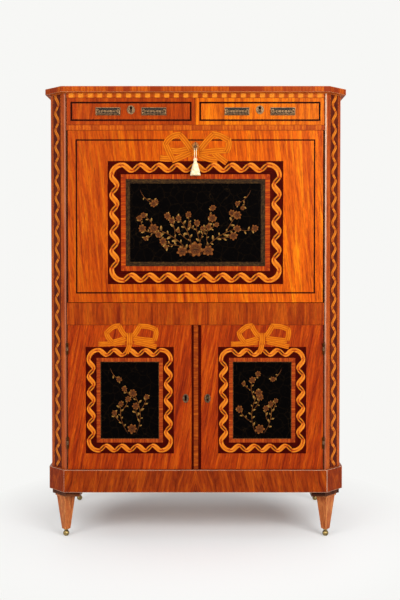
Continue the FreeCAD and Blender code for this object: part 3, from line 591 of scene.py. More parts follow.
class Finishes:
    """Every finish of the piece, made once and shared."""

    # Satinwood, knife-cut and polished: orange gold, with silky streaks and cross ripple. The fall's veneer
    # is darkened towards the left as painted shade.
    FALL = Veneer("satinwood_fall", "#9D3001", "#D05801", "#EC8006", slant=5.0, ripple=0.3, drift=0.6)
    DOOR = Veneer("satinwood_doors", "#721801", "#A03301", "#C85606", slant=-10.0, streak_mm=13.0,
                  ripple=0.32)
    # The case, posts, plinth, legs and top get pale arrises: wear and painted highlight.
    CASE = Veneer("satinwood_case", "#841E02", "#B03A06", "#D05A12", arris_mm=2.0, worn="#B87048")
    POST = Veneer("satinwood_posts", "#842E0C", "#AE4A16", "#CC6C2E", arris_mm=2.0, worn="#D09868")
    RAIL = Veneer("satinwood_rails", "#6F1B01", "#9C3802", "#BA5608", streak_mm=20.0, ripple=0.32)
    PLINTH = Veneer("satinwood_plinth", "#5B1601", "#892E03", "#B14E08", Grain.BOOK, slant=12.0,
                    streak_mm=18.0, run_mm=120.0, arris_mm=3.2, worn="#E8C8A8")
    LEG = Veneer("satinwood_legs", "#90401E", "#BC6636", "#DA904E", streak_mm=7.0, run_mm=120.0,
                 arris_mm=2.6, worn="#E8A860")
    TOP = Veneer("satinwood_top", "#8A3206", "#B4500A", "#D07018", Grain.LENGTHWISE, roughness=0.5,
                 arris_mm=2.0)
    DRAWER_LEFT = Veneer("satinwood_drawer_left", "#802801", "#A03802", "#B64E07")
    DRAWER_RIGHT = Veneer("satinwood_drawer_right", "#A84303", "#D06205", "#EA7E0B")
    # Crossbanded satinwood: short grain across the band, so the band looks barred.
    CROSSBAND = Veneer("satinwood_crossband", "#872F06", "#AF4708", "#CE6A10", Grain.CROSS, streak_mm=6.0,
                       run_mm=60.0, scorched="#7A2606")
    # The same crossbanding on the meeting stile, darker.
    STILE = Veneer("satinwood_stile", "#5E1C03", "#8A3404", "#B4560C", Grain.CROSS, streak_mm=9.0,
                   run_mm=60.0)
    # Padouk crossband round the panels: brick red and barred.
    REDBAND = Veneer("padouk_crossband", "#6C1A02", "#983004", "#C4580C", Grain.CROSS, streak_mm=8.0,
                     run_mm=60.0, scorched="#5A1A04")
    # The same padouk round the door panels, a little browner.
    DOORBAND = Veneer("padouk_crossband_doors", "#641C04", "#903208", "#B45214", Grain.CROSS, streak_mm=8.0,
                      run_mm=60.0)
    # Rosewood ground of the ribbon borders: almost black, with a red cast.
    ROSEWOOD = Veneer("rosewood_ground", "#240100", "#360300", "#4C0800", Grain.BAND, streak_mm=5.0,
                      run_mm=60.0, ripple=0.1, specular=0.02)
    # Rosewood of the posts: faded, so that its brown streaks show.
    POST_GROUND = Veneer("rosewood_post_ground", "#340600", "#541400", "#7C3006", Grain.BAND, streak_mm=9.0,
                         run_mm=60.0, ripple=0.2)
    # Boxwood ribbon: pale gold, sand-scorched brown where it turns under.
    RIBBON = Veneer("boxwood_ribbon", "#C26206", "#E2801A", "#F4A440", Grain.BAND, streak_mm=2.5,
                    run_mm=40.0, scorched="#841C00")
    # Back of the ribbon: a shade darker, burnt almost black in its hollow.
    RIBBON_BACK = Veneer("boxwood_ribbon_back", "#A04C04", "#CA6E10", "#EA9630", Grain.BAND, streak_mm=2.5,
                         run_mm=40.0, scorched="#3E0800")
    # Boxwood bow: the same wood on the satinwood ground, left lighter.
    BOW = Veneer("boxwood_bow", "#C86004", "#E27A0A", "#F4961E", Grain.BAND, streak_mm=3.0, run_mm=60.0,
                 scorched="#7A2600")
    # Ebony stringing: thin black lines with a brown cast.
    STRING = Veneer("ebony_stringing", "#0E0201", "#1E0603", "#380E05", Grain.BAND, streak_mm=2.0,
                    run_mm=40.0, specular=0.02)
    # Painted highlight on the arrises of the posts: pale satinwood, shaded towards brown where less light
    # falls.
    WORN = Veneer("worn_arris", "#B07C60", "#D8AC92", "#F0D4C0", Grain.BAND, streak_mm=3.0, run_mm=70.0,
                  scorched="#8A4228")
    # Ebonised pear of the leg blocks and knobs, worn brown, with pale arrises of wear and painted highlight.
    EBONISED = Veneer("ebonised_pear", "#2A1208", "#46200E", "#6A381C", Grain.LENGTHWISE, roughness=0.3,
                      arris_mm=2.0, worn="#9A6A48")
    # Oak of the hidden boards: open pored and waxed.
    OAK = Veneer("waxed_oak", "#744626", "#A06C42", "#C09468", ripple=0.1, pore_mm=2.2, roughness=0.55)
    OAK_FLAT = Veneer("waxed_oak_flat", "#744626", "#A06C42", "#C09468", Grain.LENGTHWISE, ripple=0.1,
                      pore_mm=2.2, roughness=0.55)
    # Satinwood of the inside: kept from the light, so yellower and plainer.
    INSIDE = Veneer("satinwood_inside", "#A0622A", "#BE823E", "#D4A058", Grain.LENGTHWISE, roughness=0.4)
    # Black lacquer of the panels: almost no light comes back, apart from cracks and rubbed specks.
    LACQUER = Lacquer("black_lacquer")
    # Raised gold on lacquer: gold powder over a red-brown size, rubbed thin.
    GOLD = Veneer("gold_on_lacquer", "#6A4216", "#B07C32", "#ECC070", Grain.BAND, streak_mm=1.6, run_mm=5.0,
                  ripple=0.45, roughness=0.4, scorched="#2A1206")
    # Gold worn through to the red-brown size: rusty stems and petals.
    RUST_GOLD = Veneer("rust_on_lacquer", "#4A1E0A", "#8A4818", "#C88438", Grain.BAND, streak_mm=1.6,
                       run_mm=5.0, ripple=0.45, roughness=0.45, scorched="#1C0A04")
    # Gilt moulding, browned with age.
    FRAME = Veneer("browned_gilt", "#140A04", "#34200C", "#664820", Grain.BAND, streak_mm=4.0, run_mm=9.0,
                   ripple=0.4, scorched="#140A04")
    # Brass of the handle plates, once silvered: warm grey-brown with bright high spots.
    PLATE = Patina("silvered_brass", "#A07C54", "#26160C", cloud_mm=3.0, metallic=0.8)
    # Brass of the door escutcheons and the key, left to tarnish: brown and dull.
    DOORPLATE = Patina("tarnished_brass", "#7A5A3E", "#281A10", roughness=0.45, cloud_mm=3.0, metallic=0.8)
    # Black tarnish in the hollows of the plates, and painted shadow round the keyholes.
    TARNISH = Patina("black_tarnish", "#1C130C", "#060403", roughness=0.5, cloud_mm=2.0, metallic=0.6)
    # Cast brass of the feet and lock cases: yellow, with brown hollows.
    BRASS = Patina("lacquered_brass", "#B09860", "#4A3A1E")
    # Keyhole plate of the fall: gilt worn to a warm brown, close to the wood round it.
    GILT = Patina("worn_gilt_brass", "#B8742C", "#6A3410", roughness=0.45, cloud_mm=3.0, metallic=0.6)
    # Hinge leaves, browned like the wood round them.
    HINGE = Patina("browned_brass", "#4E3218", "#241208", roughness=0.5)
    # Filed steel of the bolts and pins: grey, with faint clouds.
    STEEL = Patina("filed_steel", "#8A8A8C", "#4A4846")
    # Calf leather of the writing surface: dark brown with a fine grain.
    LEATHER = Soft("calf_leather", "#3A180C", "#642E18", grain_mm=1.4, roughness=0.55, sheen=0.0,
                   specular=0.12)
    # Silk of the tassel and its cord: cream, with painted shade in darker gold between the threads and
    # windings.
    SILK = Soft("tassel_silk", "#BCA070", "#F6E6BC", grain_mm=0.9, roughness=0.7, sheen=0.4, bump=0.1)

    _made: dict[str, bpy.types.Material] = {}

    @classmethod
    def get(cls, finish: Finish) -> bpy.types.Material:
        """The material of a finish, made the first time that it is asked for.

        Args:
            finish: One of the finishes above.

        Returns:
            Its material.
        """
        if finish.name not in cls._made:
            cls._made[finish.name] = finish.material()
        return cls._made[finish.name]


def paint(finish: Finish, *nodes: str) -> None:
    """Give carried-over solids a finish.

    Args:
        finish: The finish.
        nodes: Names of the solids.
    """
    made = Finishes.get(finish)
    for name in nodes:
        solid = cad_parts[name]
        if not solid.material_slots:
            solid.data.materials.append(made)
        for place in solid.material_slots:
            place.material = made


def keep(piece: bpy.types.Object, body: str) -> bpy.types.Object:
    """Let a finished piece ride on a body and report it.

    Args:
        piece: The piece.
        body: The body that carries it.

    Returns:
        The same piece.
    """
    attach(piece, body)
    LOG.info("%s rides on %s with %d faces", piece.name, body, len(piece.data.polygons))
    return piece


@dataclass(frozen=True)
class Face:
    """A flat face of a body: a corner point and its right and up directions."""

    body: str
    origin: Vector
    right: Vector
    up: Vector = Vector((0.0, 0.0, 1.0))

    @property
    def normal(self) -> Vector:
        """The way out of the face."""
        return self.right.cross(self.up)

    def at(self, point: Point, out: float = 0.0) -> Vector:
        """The place in the shared frame of a point that lies so far to the right, up and out."""
        return self.origin + self.right * point[0] + self.up * point[1] + self.normal * out

    def moved(self, out: float) -> "Face":
        """The same face, further out."""
        return replace(self, origin=self.origin + self.normal * out)

    def turned(self) -> "Face":
        """The same directions about the origin of the frame, for units that are placed later."""
        return replace(self, origin=Vector())


def front_face(node: str, body: str) -> Face:
    """The front plane of a body's solid, with X and Z as its own coordinates."""
    return Face(body, Vector((0.0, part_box(node)[0][1], 0.0)), Vector((1.0, 0.0, 0.0)))


def front_box(node: str) -> Box:
    """Lower left and upper right corners of a solid, seen from the front."""
    low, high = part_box(node)
    return (low[0], low[2]), (high[0], high[2])


def widened(box: Box, by: float) -> Box:
    """A rectangle grown by the same distance on every side."""
    (left, lower), (right, upper) = box
    return (left - by, lower - by), (right + by, upper + by)


def corners_of(box: Box) -> list[Point]:
    """Corners of a rectangle, clockwise from the upper left."""
    (left, lower), (right, upper) = box
    return [(left, upper), (right, upper), (right, lower), (left, lower)]


def unscorched(_along: float, _across: float) -> float:
    """No scorching anywhere."""
    return 0.0


class Inlay:
    """Thin closed pieces let into a face, gathered to one mesh for each finish and body."""

    SUNK = 0.2 * MM
    # Shares across a band where it has points: its edges only, with a vein, and with strands.
    PLAIN = (0.0, 1.0)
    VEINED = (0.0, 0.5, 1.0)
    STRANDS = (0.0, 0.1, 0.28, 0.36, 0.44, 0.56, 0.64, 0.72, 0.9, 1.0)

    def __init__(self, face: Face, proud_mm: float) -> None:
        """Start with nothing inlaid.

        Args:
            face: The face that carries the inlay.
            proud_mm: How far it stands out of the face.
        """
        self.face = face
        self.proud = proud_mm * MM
        self.mesh = bmesh.new()
        self.shade = self.mesh.verts.layers.float.new("shade")
        self.grain = self.mesh.loops.layers.uv.new("UVMap")

    def grid(self, rows: Rows, shades: Shades) -> None:
        """Lay one closed sheet whose points run in rows across it.

        Args:
            rows: Points of the face, each row from left to right of the way that the sheet runs.
            shades: Darkening of each point, from none to full; it is scorching on most inlay and painted
                shade on the arris highlights of the posts.
        """
        run = 0.0
        laid = []
        centres = [Vector(row[0]).lerp(Vector(row[-1]), 0.5) for row in rows]
        for i, row in enumerate(rows):
            ahead = (centres[min(i + 1, len(rows) - 1)] - centres[max(i - 1, 0)]).normalized()
            run += (centres[i] - centres[i - 1]).length if i else 0.0
            line = []
            for j, point in enumerate(row):
                off = Vector(point) - centres[i]
                place = (run + off.dot(ahead), off.x * ahead.y - off.y * ahead.x)
                pair = []
                for out in (self.proud, -self.SUNK) if j in (0, len(row) - 1) else (self.proud,):
                    vert = self.mesh.verts.new(self.face.at(point, out))
                    vert[self.shade] = shades[i][j]
                    pair.append((vert, place))
                line.append(pair)
            laid.append(line)
        for first, second in zip(laid, laid[1:]):
            for a, b, c, d in zip(first, first[1:], second[1:], second):
                self._side([a[0], b[0], c[0], d[0]])
            self._side([first[-1][1], first[0][1], second[0][1], second[-1][1]])
            self._side([second[0][0], second[0][1], first[0][1], first[0][0]])
            self._side([first[-1][0], first[-1][1], second[-1][1], second[-1][0]])
        for row in (laid[0], laid[-1]):
            self._side([pair[0] for pair in row] + [row[-1][1], row[0][1]])

    def _side(self, corners: list[tuple[bmesh.types.BMVert, Point]]) -> None:
        """Add one face with its grain coordinates.

        Args:
            corners: Points of the mesh, each with its place along and across the grain.
        """
        made = self.mesh.faces.new([vert for vert, _place in corners])
        for loop, (_vert, place) in zip(made.loops, corners):
            loop[self.grain].uv = place

    def bar(self, low: Point, high: Point, upright: bool = False, shade: float = 0.0) -> None:
        """Lay a square-ended bar.

        Args:
            low: Lower left corner.
            high: Upper right corner.
            upright: Whether it runs up the face.
            shade: Its darkening: scorching on inlay, painted shade on the arris highlights of the posts.
        """
        (a, b), (c, d) = low, high
        rows = [[(a, b), (c, b)], [(a, d), (c, d)]] if upright else [[(a, d), (a, b)], [(c, d), (c, b)]]
        self.grid(rows, [[shade] * 2] * 2)

    def ring(self, box: Box, inset: float, width: float, shade: float = 0.0) -> None:
        """Lay a mitred band round a rectangle.

        Args:
            box: The rectangle.
            inset: Distance from the rectangle inwards to the band, below zero for outwards.
            width: Width of the band, inwards.
            shade: Its scorching.
        """
        outer, inner = (corners_of(widened(box, -by)) for by in (inset, inset + width))
        for i, corner in enumerate(outer):
            after = (i + 1) % len(outer)
            self.grid([[corner, inner[i]], [outer[after], inner[after]]], [[shade] * 2] * 2)

    def band(self, line: Sequence[Point], widths: Sequence[float], shading: Shading,
             places: Sequence[float] = STRANDS) -> None:
        """Lay a band along a line.

        Args:
            line: Points along its middle.
            widths: Its width at each point.
            shading: Scorching at a share along and a share across.
            places: Shares across the band where it has points.
        """
        rows, shades = [], []
        last = len(line) - 1
        for i, point in enumerate(line):
            ahead = Vector(line[min(i + 1, last)]) - Vector(line[max(i - 1, 0)])
            aside = Vector((-ahead.y, ahead.x)).normalized() * (widths[i] / 2)
            rows.append([tuple(Vector(point) + aside * (1 - 2 * p)) for p in places])
            shades.append([shading(i / last, p) for p in places])
        self.grid(rows, shades)

    def unit(self, name: str) -> bpy.types.Object:
        """Close the inlay as a plain object."""
        return set_out(name, plain_mesh(name, self.mesh))

    def finish(self, name: str, finish: Finish, slot: str = WOOD) -> bpy.types.Object:
        """Close the inlay as one piece that rides on the body of its face.

        Args:
            name: Name of the piece.
            finish: Its finish.
            slot: The record's material slot; not used.

        Returns:
            The piece.
        """
        piece = self.unit(name)
        piece.data.materials.append(Finishes.get(finish))
        return keep(piece, self.face.body)


@dataclass
class Spots:
    """Places, turns and sizes of the copies of a unit."""

    places: list[Vector] = field(default_factory=list)
    turns: list[float] = field(default_factory=list)
    sizes: list[float] = field(default_factory=list)

    def put(self, place: Vector, turn: float = 0.0, size: float = 1.0) -> None:
        """Add one place.

        Args:
            place: Where the copy goes.
            turn: Its turn in radians.
            size: Its size against the unit.
        """
        self.places.append(place)
        self.turns.append(turn)
        self.sizes.append(size)


class Axis(Enum):
    """The axis that copies of a unit turn about."""

    Y = (0.0, 1.0, 0.0)
    Z = (0.0, 0.0, 1.0)


class Repeat:
    """Geometry Nodes tree that sets a unit at every point, turned, sized and realised."""

    SOCKETS = (("Points", "INPUT", "NodeSocketGeometry"), ("Unit", "INPUT", "NodeSocketObject"),
               ("Finish", "INPUT", "NodeSocketMaterial"), ("Result", "OUTPUT", "NodeSocketGeometry"))
    _trees: dict[Axis, bpy.types.GeometryNodeTree] = {}

    @classmethod
    def tree(cls, axis: Axis) -> bpy.types.GeometryNodeTree:
        """The tree that turns its copies about an axis.

        Args:
            axis: The axis.

        Returns:
            The node tree.
        """
        if axis in cls._trees:
            return cls._trees[axis]
        tree = bpy.data.node_groups.new(f"repeat_about_{axis.name.lower()}", "GeometryNodeTree")
        for name, way, kind in cls.SOCKETS:
            tree.interface.new_socket(name, in_out=way, socket_type=kind)
        source = add(tree, "NodeGroupInput")
        unit = add(tree, "GeometryNodeObjectInfo", inputs={0: source.outputs["Unit"]})
        turn, size = (
            add(tree, "GeometryNodeInputNamedAttribute", {"data_type": "FLOAT"}, {0: label}).outputs[0]
            for label in ("turn", "size"))
        way = add(tree, "FunctionNodeAxisAngleToRotation", inputs={0: axis.value, 1: turn})
        spread = add(tree, "GeometryNodeInstanceOnPoints", inputs={
            "Points": source.outputs["Points"], "Instance": unit.outputs["Geometry"],
            "Rotation": way.outputs[0], "Scale": size})
        solid = add(tree, "GeometryNodeRealizeInstances", inputs={0: spread.outputs[0]})
        dressed = add(tree, "GeometryNodeSetMaterial",
                      inputs={0: solid.outputs[0], "Material": source.outputs["Finish"]})
        add(tree, "NodeGroupOutput", inputs={0: dressed.outputs[0]})
        cls._trees[axis] = tree
        return tree

    @classmethod
    def lay(cls, name: str, unit: bpy.types.Object, spots: Spots, finish: Finish,
            axis: Axis = Axis.Y) -> bpy.types.Object:
        """Set copies of a unit and turn the result into one plain mesh.

        Args:
            name: Name of the piece.
            unit: The unit, built about the origin; it is deleted afterwards.
            spots: Where the copies go.
            finish: Their finish.
            axis: The axis that they turn about.

        Returns:
            The piece, not yet riding on a body.
        """
        data = bpy.data.meshes.new(f"{name}_points")
        data.from_pydata([tuple(p) for p in spots.places], [], [])
        labels = {"turn": spots.turns, "size": spots.sizes}
        for label, values in labels.items():
            data.attributes.new(label, "FLOAT", "POINT").data.foreach_set("value", values)
        holder = set_out(f"{name}_points", data)
        modifier = holder.modifiers.new("repeat", "NODES")
        modifier.node_group = cls.tree(axis)
        values = {"Unit": unit, "Finish": Finishes.get(finish)}
        for socket in modifier.node_group.interface.items_tree:
            if socket.in_out == "INPUT" and socket.name in values:
                modifier[socket.identifier] = values[socket.name]
        bpy.context.view_layer.update()
        graph = bpy.context.evaluated_depsgraph_get()
        plain = bpy.data.meshes.new_from_object(holder.evaluated_get(graph))
        holder.modifiers.clear()
        bpy.data.objects.remove(holder)
        bpy.data.objects.remove(unit)
        plain.name = name
        for label in labels:
            if label in plain.attributes:
                plain.attributes.remove(plain.attributes[label])
        return set_out(name, plain)


@dataclass(frozen=True)
class Scorch:
    """Scorching of a stroke of ribbon: dark edges and ends, a red middle, and a fold line where it turns."""

    hollow: float = 0.36
    hollow_from: float = 0.3
    fold: float = 0.64
    fold_from: float = 0.4
    fold_turn: float = 0.4
    edge: float = 0.9
    end_power: int = 8

    def shade(self, along: float, across: float) -> float:
        """Scorching at a place of the stroke.

        Args:
            along: Share of the way along it.
            across: Share of the way across it.

        Returns:
            The scorching, from none to full.
        """
        turn = abs(2 * along - 1)
        shade = turn ** self.end_power
        if self.hollow_from < across < 1 - self.hollow_from:
            shade += self.hollow
        if turn > self.fold_turn and self.fold_from < across < 1 - self.fold_from:
            shade += self.fold
        if across in Inlay.PLAIN:
            shade += self.edge
        return min(1.0, shade)


@dataclass(frozen=True)
class WaveRibbon:
    """A ribbon that twists along a border: broad bright strokes, and hollow return strokes behind them."""

    pitch: float = 60 * MM
    reach: float = 9.0 * MM
    broad: float = 18.0 * MM
    narrow: float = 15.0 * MM
    tip: float = 7.5 * MM
    turn: float = 26.0 * MM
    share: float = 0.52
    past: float = 0.27
    steps: int = 12
    swell: float = 0.6
    corner_past: float = 0.12
    corner_broad: float = 0.92
    front: Scorch = Scorch()
    back: Scorch = Scorch(hollow=0.95)

    def stroke(self, face: Face, pitch: float, upright: bool, mirrored: bool,
               behind: bool) -> bpy.types.Object:
        """One stroke about the origin of the face.

        Args:
            face: The face that it lies on.
            pitch: Length of one full wave.
            upright: Whether the ribbon runs up the face.
            mirrored: Whether the strokes lean the other way.
            behind: Whether it is the return stroke.

        Returns:
            The unit object.
        """
        laid = Inlay(face.turned(), RETURN_MM if behind else STROKE_MM)
        past, width, share = self.past, self.broad, self.share
        if behind:
            past, width, share = 0.0, self.narrow, 1 - self.share
        line, widths = [], []
        for i in range(self.steps + 1):
            step = i / self.steps
            t = step * (1 + 2 * past) - past
            u = (t - 0.5) * share * pitch
            v = math.cos(math.pi * t) * self.reach * (-1 if behind != mirrored else 1)
            line.append((-v, -u) if upright else (u, v))
            swell = max(0.0, math.sin(math.pi * step)) ** self.swell
            widths.append(self.tip + (width - self.tip) * swell)
        laid.band(line, widths, (self.back if behind else self.front).shade)
        return laid.unit("ribbon_stroke")

    def run(self, face: Face, start: Point, upright: bool, count: int, pitch: float, behind: bool,
            leads: bool, spots: Spots) -> None:
        """Mark where the strokes of one side go.

        Args:
            face: The face that carries them.
            start: Left or upper end of the side.
            upright: Whether the side runs down the face.
            count: Number of waves.
            pitch: Length of one wave.
            behind: Whether the return strokes are meant.
            leads: Whether a bright stroke comes first.
            spots: Takes the places.
        """
        first = (1 + self.share) / 2 if behind else self.share / 2
        if not leads:
            first = 1 - first
        for i in range(count):
            along = (i + first) * pitch
            u, v = (0.0, -along) if upright else (along, 0.0)
            spots.put(face.at((start[0] + u, start[1] + v)))

    def border(self, face: Face, box: Box, mirrored: bool = False) -> None:
        """Lay the ribbon round a rectangle, with turned pieces at its corners.

        Args:
            face: The face that carries it.
            box: The ribbon's middle line.
            mirrored: Whether the strokes lean the other way.
        """
        low, high = box
        inner = widened(box, -self.turn)
        (left, lower), (right, upper) = inner
        across, upward = (max(1, round(length / self.pitch)) for length in (right - left, upper - lower))
        step_u, step_v = (right - left) / across, (upper - lower) / upward
        for behind, finish in ((False, Finishes.RIBBON), (True, Finishes.RIBBON_BACK)):
            tag = "back" if behind else "front"
            level, standing = Spots(), Spots()
            for v, leads in ((high[1], not mirrored), (low[1], mirrored)):
                self.run(face, (left, v), False, across, step_u, behind, leads, level)
            for u, leads in ((low[0], not mirrored), (high[0], mirrored)):
                self.run(face, (u, upper), True, upward, step_v, behind, leads, standing)
            for kind, spots, pitch in (("level", level, step_u), ("upright", standing, step_v)):
                unit = self.stroke(face, pitch, kind == "upright", mirrored, behind)
                name = f"{face.body}_ribbon_{kind}_{tag}"
                keep(Repeat.lay(name, unit, spots, finish), face.body)
        self.corners(face, inner)

    def corners(self, face: Face, inner: Box) -> None:
        """Lay the turned pieces at the corners of a border.

        Args:
            face: The face that carries them.
            inner: Lower left and upper right of the points that they turn about.
        """
        laid = Inlay(face, CORNER_MM)
        size = self.turn + self.reach
        swell = self.broad * self.corner_broad - self.narrow
        (left, lower), (right, upper) = inner
        places = [(u, v, a, b) for v, b in ((lower, -1), (upper, 1)) for u, a in ((left, -1), (right, 1))]
        for u, v, a, b in places:
            line, widths = [], []
            for i in range(self.steps + 1):
                step = i / self.steps
                angle = math.pi / 2 * ((1 + 2 * self.corner_past) * step - self.corner_past)
                line.append((u + a * size * math.cos(angle), v + b * size * math.sin(angle)))
                widths.append(self.narrow + swell * math.sin(math.pi * step))
            laid.band(line if a * b > 0 else line[::-1], widths, self.front.shade)
        laid.finish(f"{face.body}_ribbon_corners", Finishes.RIBBON)


FALL_RIBBON = WaveRibbon()
DOOR_RIBBON = WaveRibbon(pitch=54 * MM, reach=8.0 * MM, broad=15.5 * MM, narrow=13.0 * MM, tip=6.5 * MM,
                         turn=24 * MM)
POST_RIBBON = WaveRibbon(pitch=54 * MM, reach=8.2 * MM, broad=12.0 * MM, narrow=10.0 * MM, tip=8.5 * MM,
                         back=Scorch())


@dataclass(frozen=True)
class Bow:
    """A tied bow of boxwood ribbon: folded loops, tails and the knot, in millimetres about the knot."""

    width: float
    knot: Box
    bands: tuple[tuple[Point, ...], ...]
    lift: float = 0.03
    knot_steps: int = 6
    waist: float = 0.22
    edge: float = 0.9
    creases: Point = (0.32, 0.68)
    crease: float = 0.8
    crease_fall: float = 5.0
    fold: float = 0.3
    fold_power: int = 4

    def pleats(self, along: float, across: float) -> float:
        """Scorching of a pleated band: dark edges and two creases.

        Args:
            along: Share of the way along the band.
            across: Share of the way across it.

        Returns:
            The scorching, from none to full.
        """
        edge = self.edge if across in Inlay.PLAIN else 0.0
        away = min(abs(across - place) for place in self.creases)
        crease = max(0.0, self.crease - self.crease_fall * away)
        fold = self.fold * abs(2 * along - 1) ** self.fold_power
        return min(1.0, edge + crease + fold)

    def lay(self, face: Face, centre: Point) -> None:
        """Lay the bow on a face.

        Args:
            face: The face that carries it.
            centre: Place of the knot.
        """
        laid = Inlay(face, BOW_MM)
        for band in self.bands:
            line = self.smooth([(centre[0] + x * MM, centre[1] + z * MM) for x, z in band])
            laid.band(line, [self.width * MM] * len(line), self.pleats)
            laid.proud += self.lift * MM
        (a, b), (c, d) = self.knot
        middle = centre[0] + (a + c) / 2 * MM
        shares = [i / self.knot_steps for i in range(self.knot_steps + 1)]
        line = [(middle, centre[1] + (b + (d - b) * share) * MM) for share in shares]
        widths = [(c - a) * MM * (1 - self.waist * math.sin(math.pi * share)) for share in shares]
        laid.band(line, widths, self.pleats)
        laid.finish(f"{face.body}_bow", Finishes.BOW)

    @staticmethod
    def smooth(points: list[Point], rounds: int = 2, cut: float = 0.25) -> list[Point]:
        """Round the corners of a line by cutting them.

        Args:
            points: The line.
            rounds: How often its corners are cut.
            cut: Share of each length that a cut takes off.

        Returns:
            The rounded line.
        """
        for _ in range(rounds):
            inside = []
            for first, second in zip(points, points[1:]):
                a, b = Vector(first), Vector(second)
                inside += [tuple(a.lerp(b, cut)), tuple(a.lerp(b, 1 - cut))]
            points = [points[0], *inside, points[-1]]
        return points


FALL_BOW = Bow(width=19.0, knot=((-12, -21), (13, 18)), bands=(
    ((-113, -27), (-92, -29), (-62, -28)),
    ((12, -16), (40, -30), (70, -33)),
    ((56, -8), (78, -26), (100, -42)),
    ((-76, -34), (-48, -24), (-14, -8)),
    ((-80, -2), (-56, -6), (-24, 2)),
    ((-97, 26), (-88, 0), (-72, -34)),
    ((-46, 48), (-68, 46), (-86, 34), (-96, 18)),
    ((-14, 0), (-32, 28), (-50, 48)),
    ((98, -2), (60, -4), (14, -10)),
    ((104, 36), (108, 14), (98, -8)),
    ((52, 50), (76, 46), (104, 30)),
    ((14, 0), (36, 28), (58, 50)),
))
DOOR_BOW = Bow(width=16.0, knot=((-11, -20), (11, 17)), bands=(
    ((0, -14), (-3, -32), (-11, -48)),
    ((-100, -19), (-58, -18), (-14, -12)),
    ((14, -11), (47, -18), (86, -28)),
    ((-58, -14), (-33, -7), (-11, 0)),
    ((-74, 22), (-72, 6), (-56, -14)),
    ((-30, 40), (-53, 38), (-74, 17)),
    ((-11, 4), (-25, 22), (-34, 41)),
    ((80, -8), (42, -4), (11, 0)),
    ((81, 32), (86, 17), (79, -8)),
    ((28, 39), (58, 38), (82, 29)),
    ((11, 4), (25, 25), (34, 41)),
))


@dataclass(frozen=True)
class Almond:
    """An almond-shaped leaf or petal that points up from the origin."""

    length: float
    width: float
    proud_mm: float
    rows: int = 5
    foot: float = 0.06
    span: float = 0.86
    fullness: float = 0.8

    FOOT_DARK, FOOT_POWER = 0.7, 1.5
    VEIN_DARK = 0.35

    def unit(self, face: Face) -> bpy.types.Object:
        """Make one on a face.

        Args:
            face: The face that it lies on.

        Returns:
            The unit object.
        """
        laid = Inlay(face.turned(), self.proud_mm)
        shares = [i / self.rows for i in range(self.rows + 1)]
        line = [(0.0, self.length * share) for share in shares]
        widths = [self.width * math.sin(math.pi * (self.foot + self.span * share)) ** self.fullness
                  for share in shares]
        laid.band(line, widths, self.veined, Inlay.VEINED)
        return laid.unit("almond")

    @classmethod
    def veined(cls, along: float, across: float) -> float:
        """Scorching of a leaf or stem: dark at its foot and along its vein."""
        vein = cls.VEIN_DARK if across == Inlay.VEINED[1] else 0.0
        return min(1.0, cls.FOOT_DARK * (1 - along) ** cls.FOOT_POWER + vein)


@dataclass(frozen=True)
class Stem:
    """Where a stem starts on a panel and how it grows, on the panel's right side."""

    out: float
    rise: float
    heading: float
    length: float
    bend: float
    depth: int = 0


@dataclass(frozen=True)
class Bloom:
    """Where a large blossom sits on a panel, on the panel's right side, and its size."""

    out: float
    rise: float
    size: float


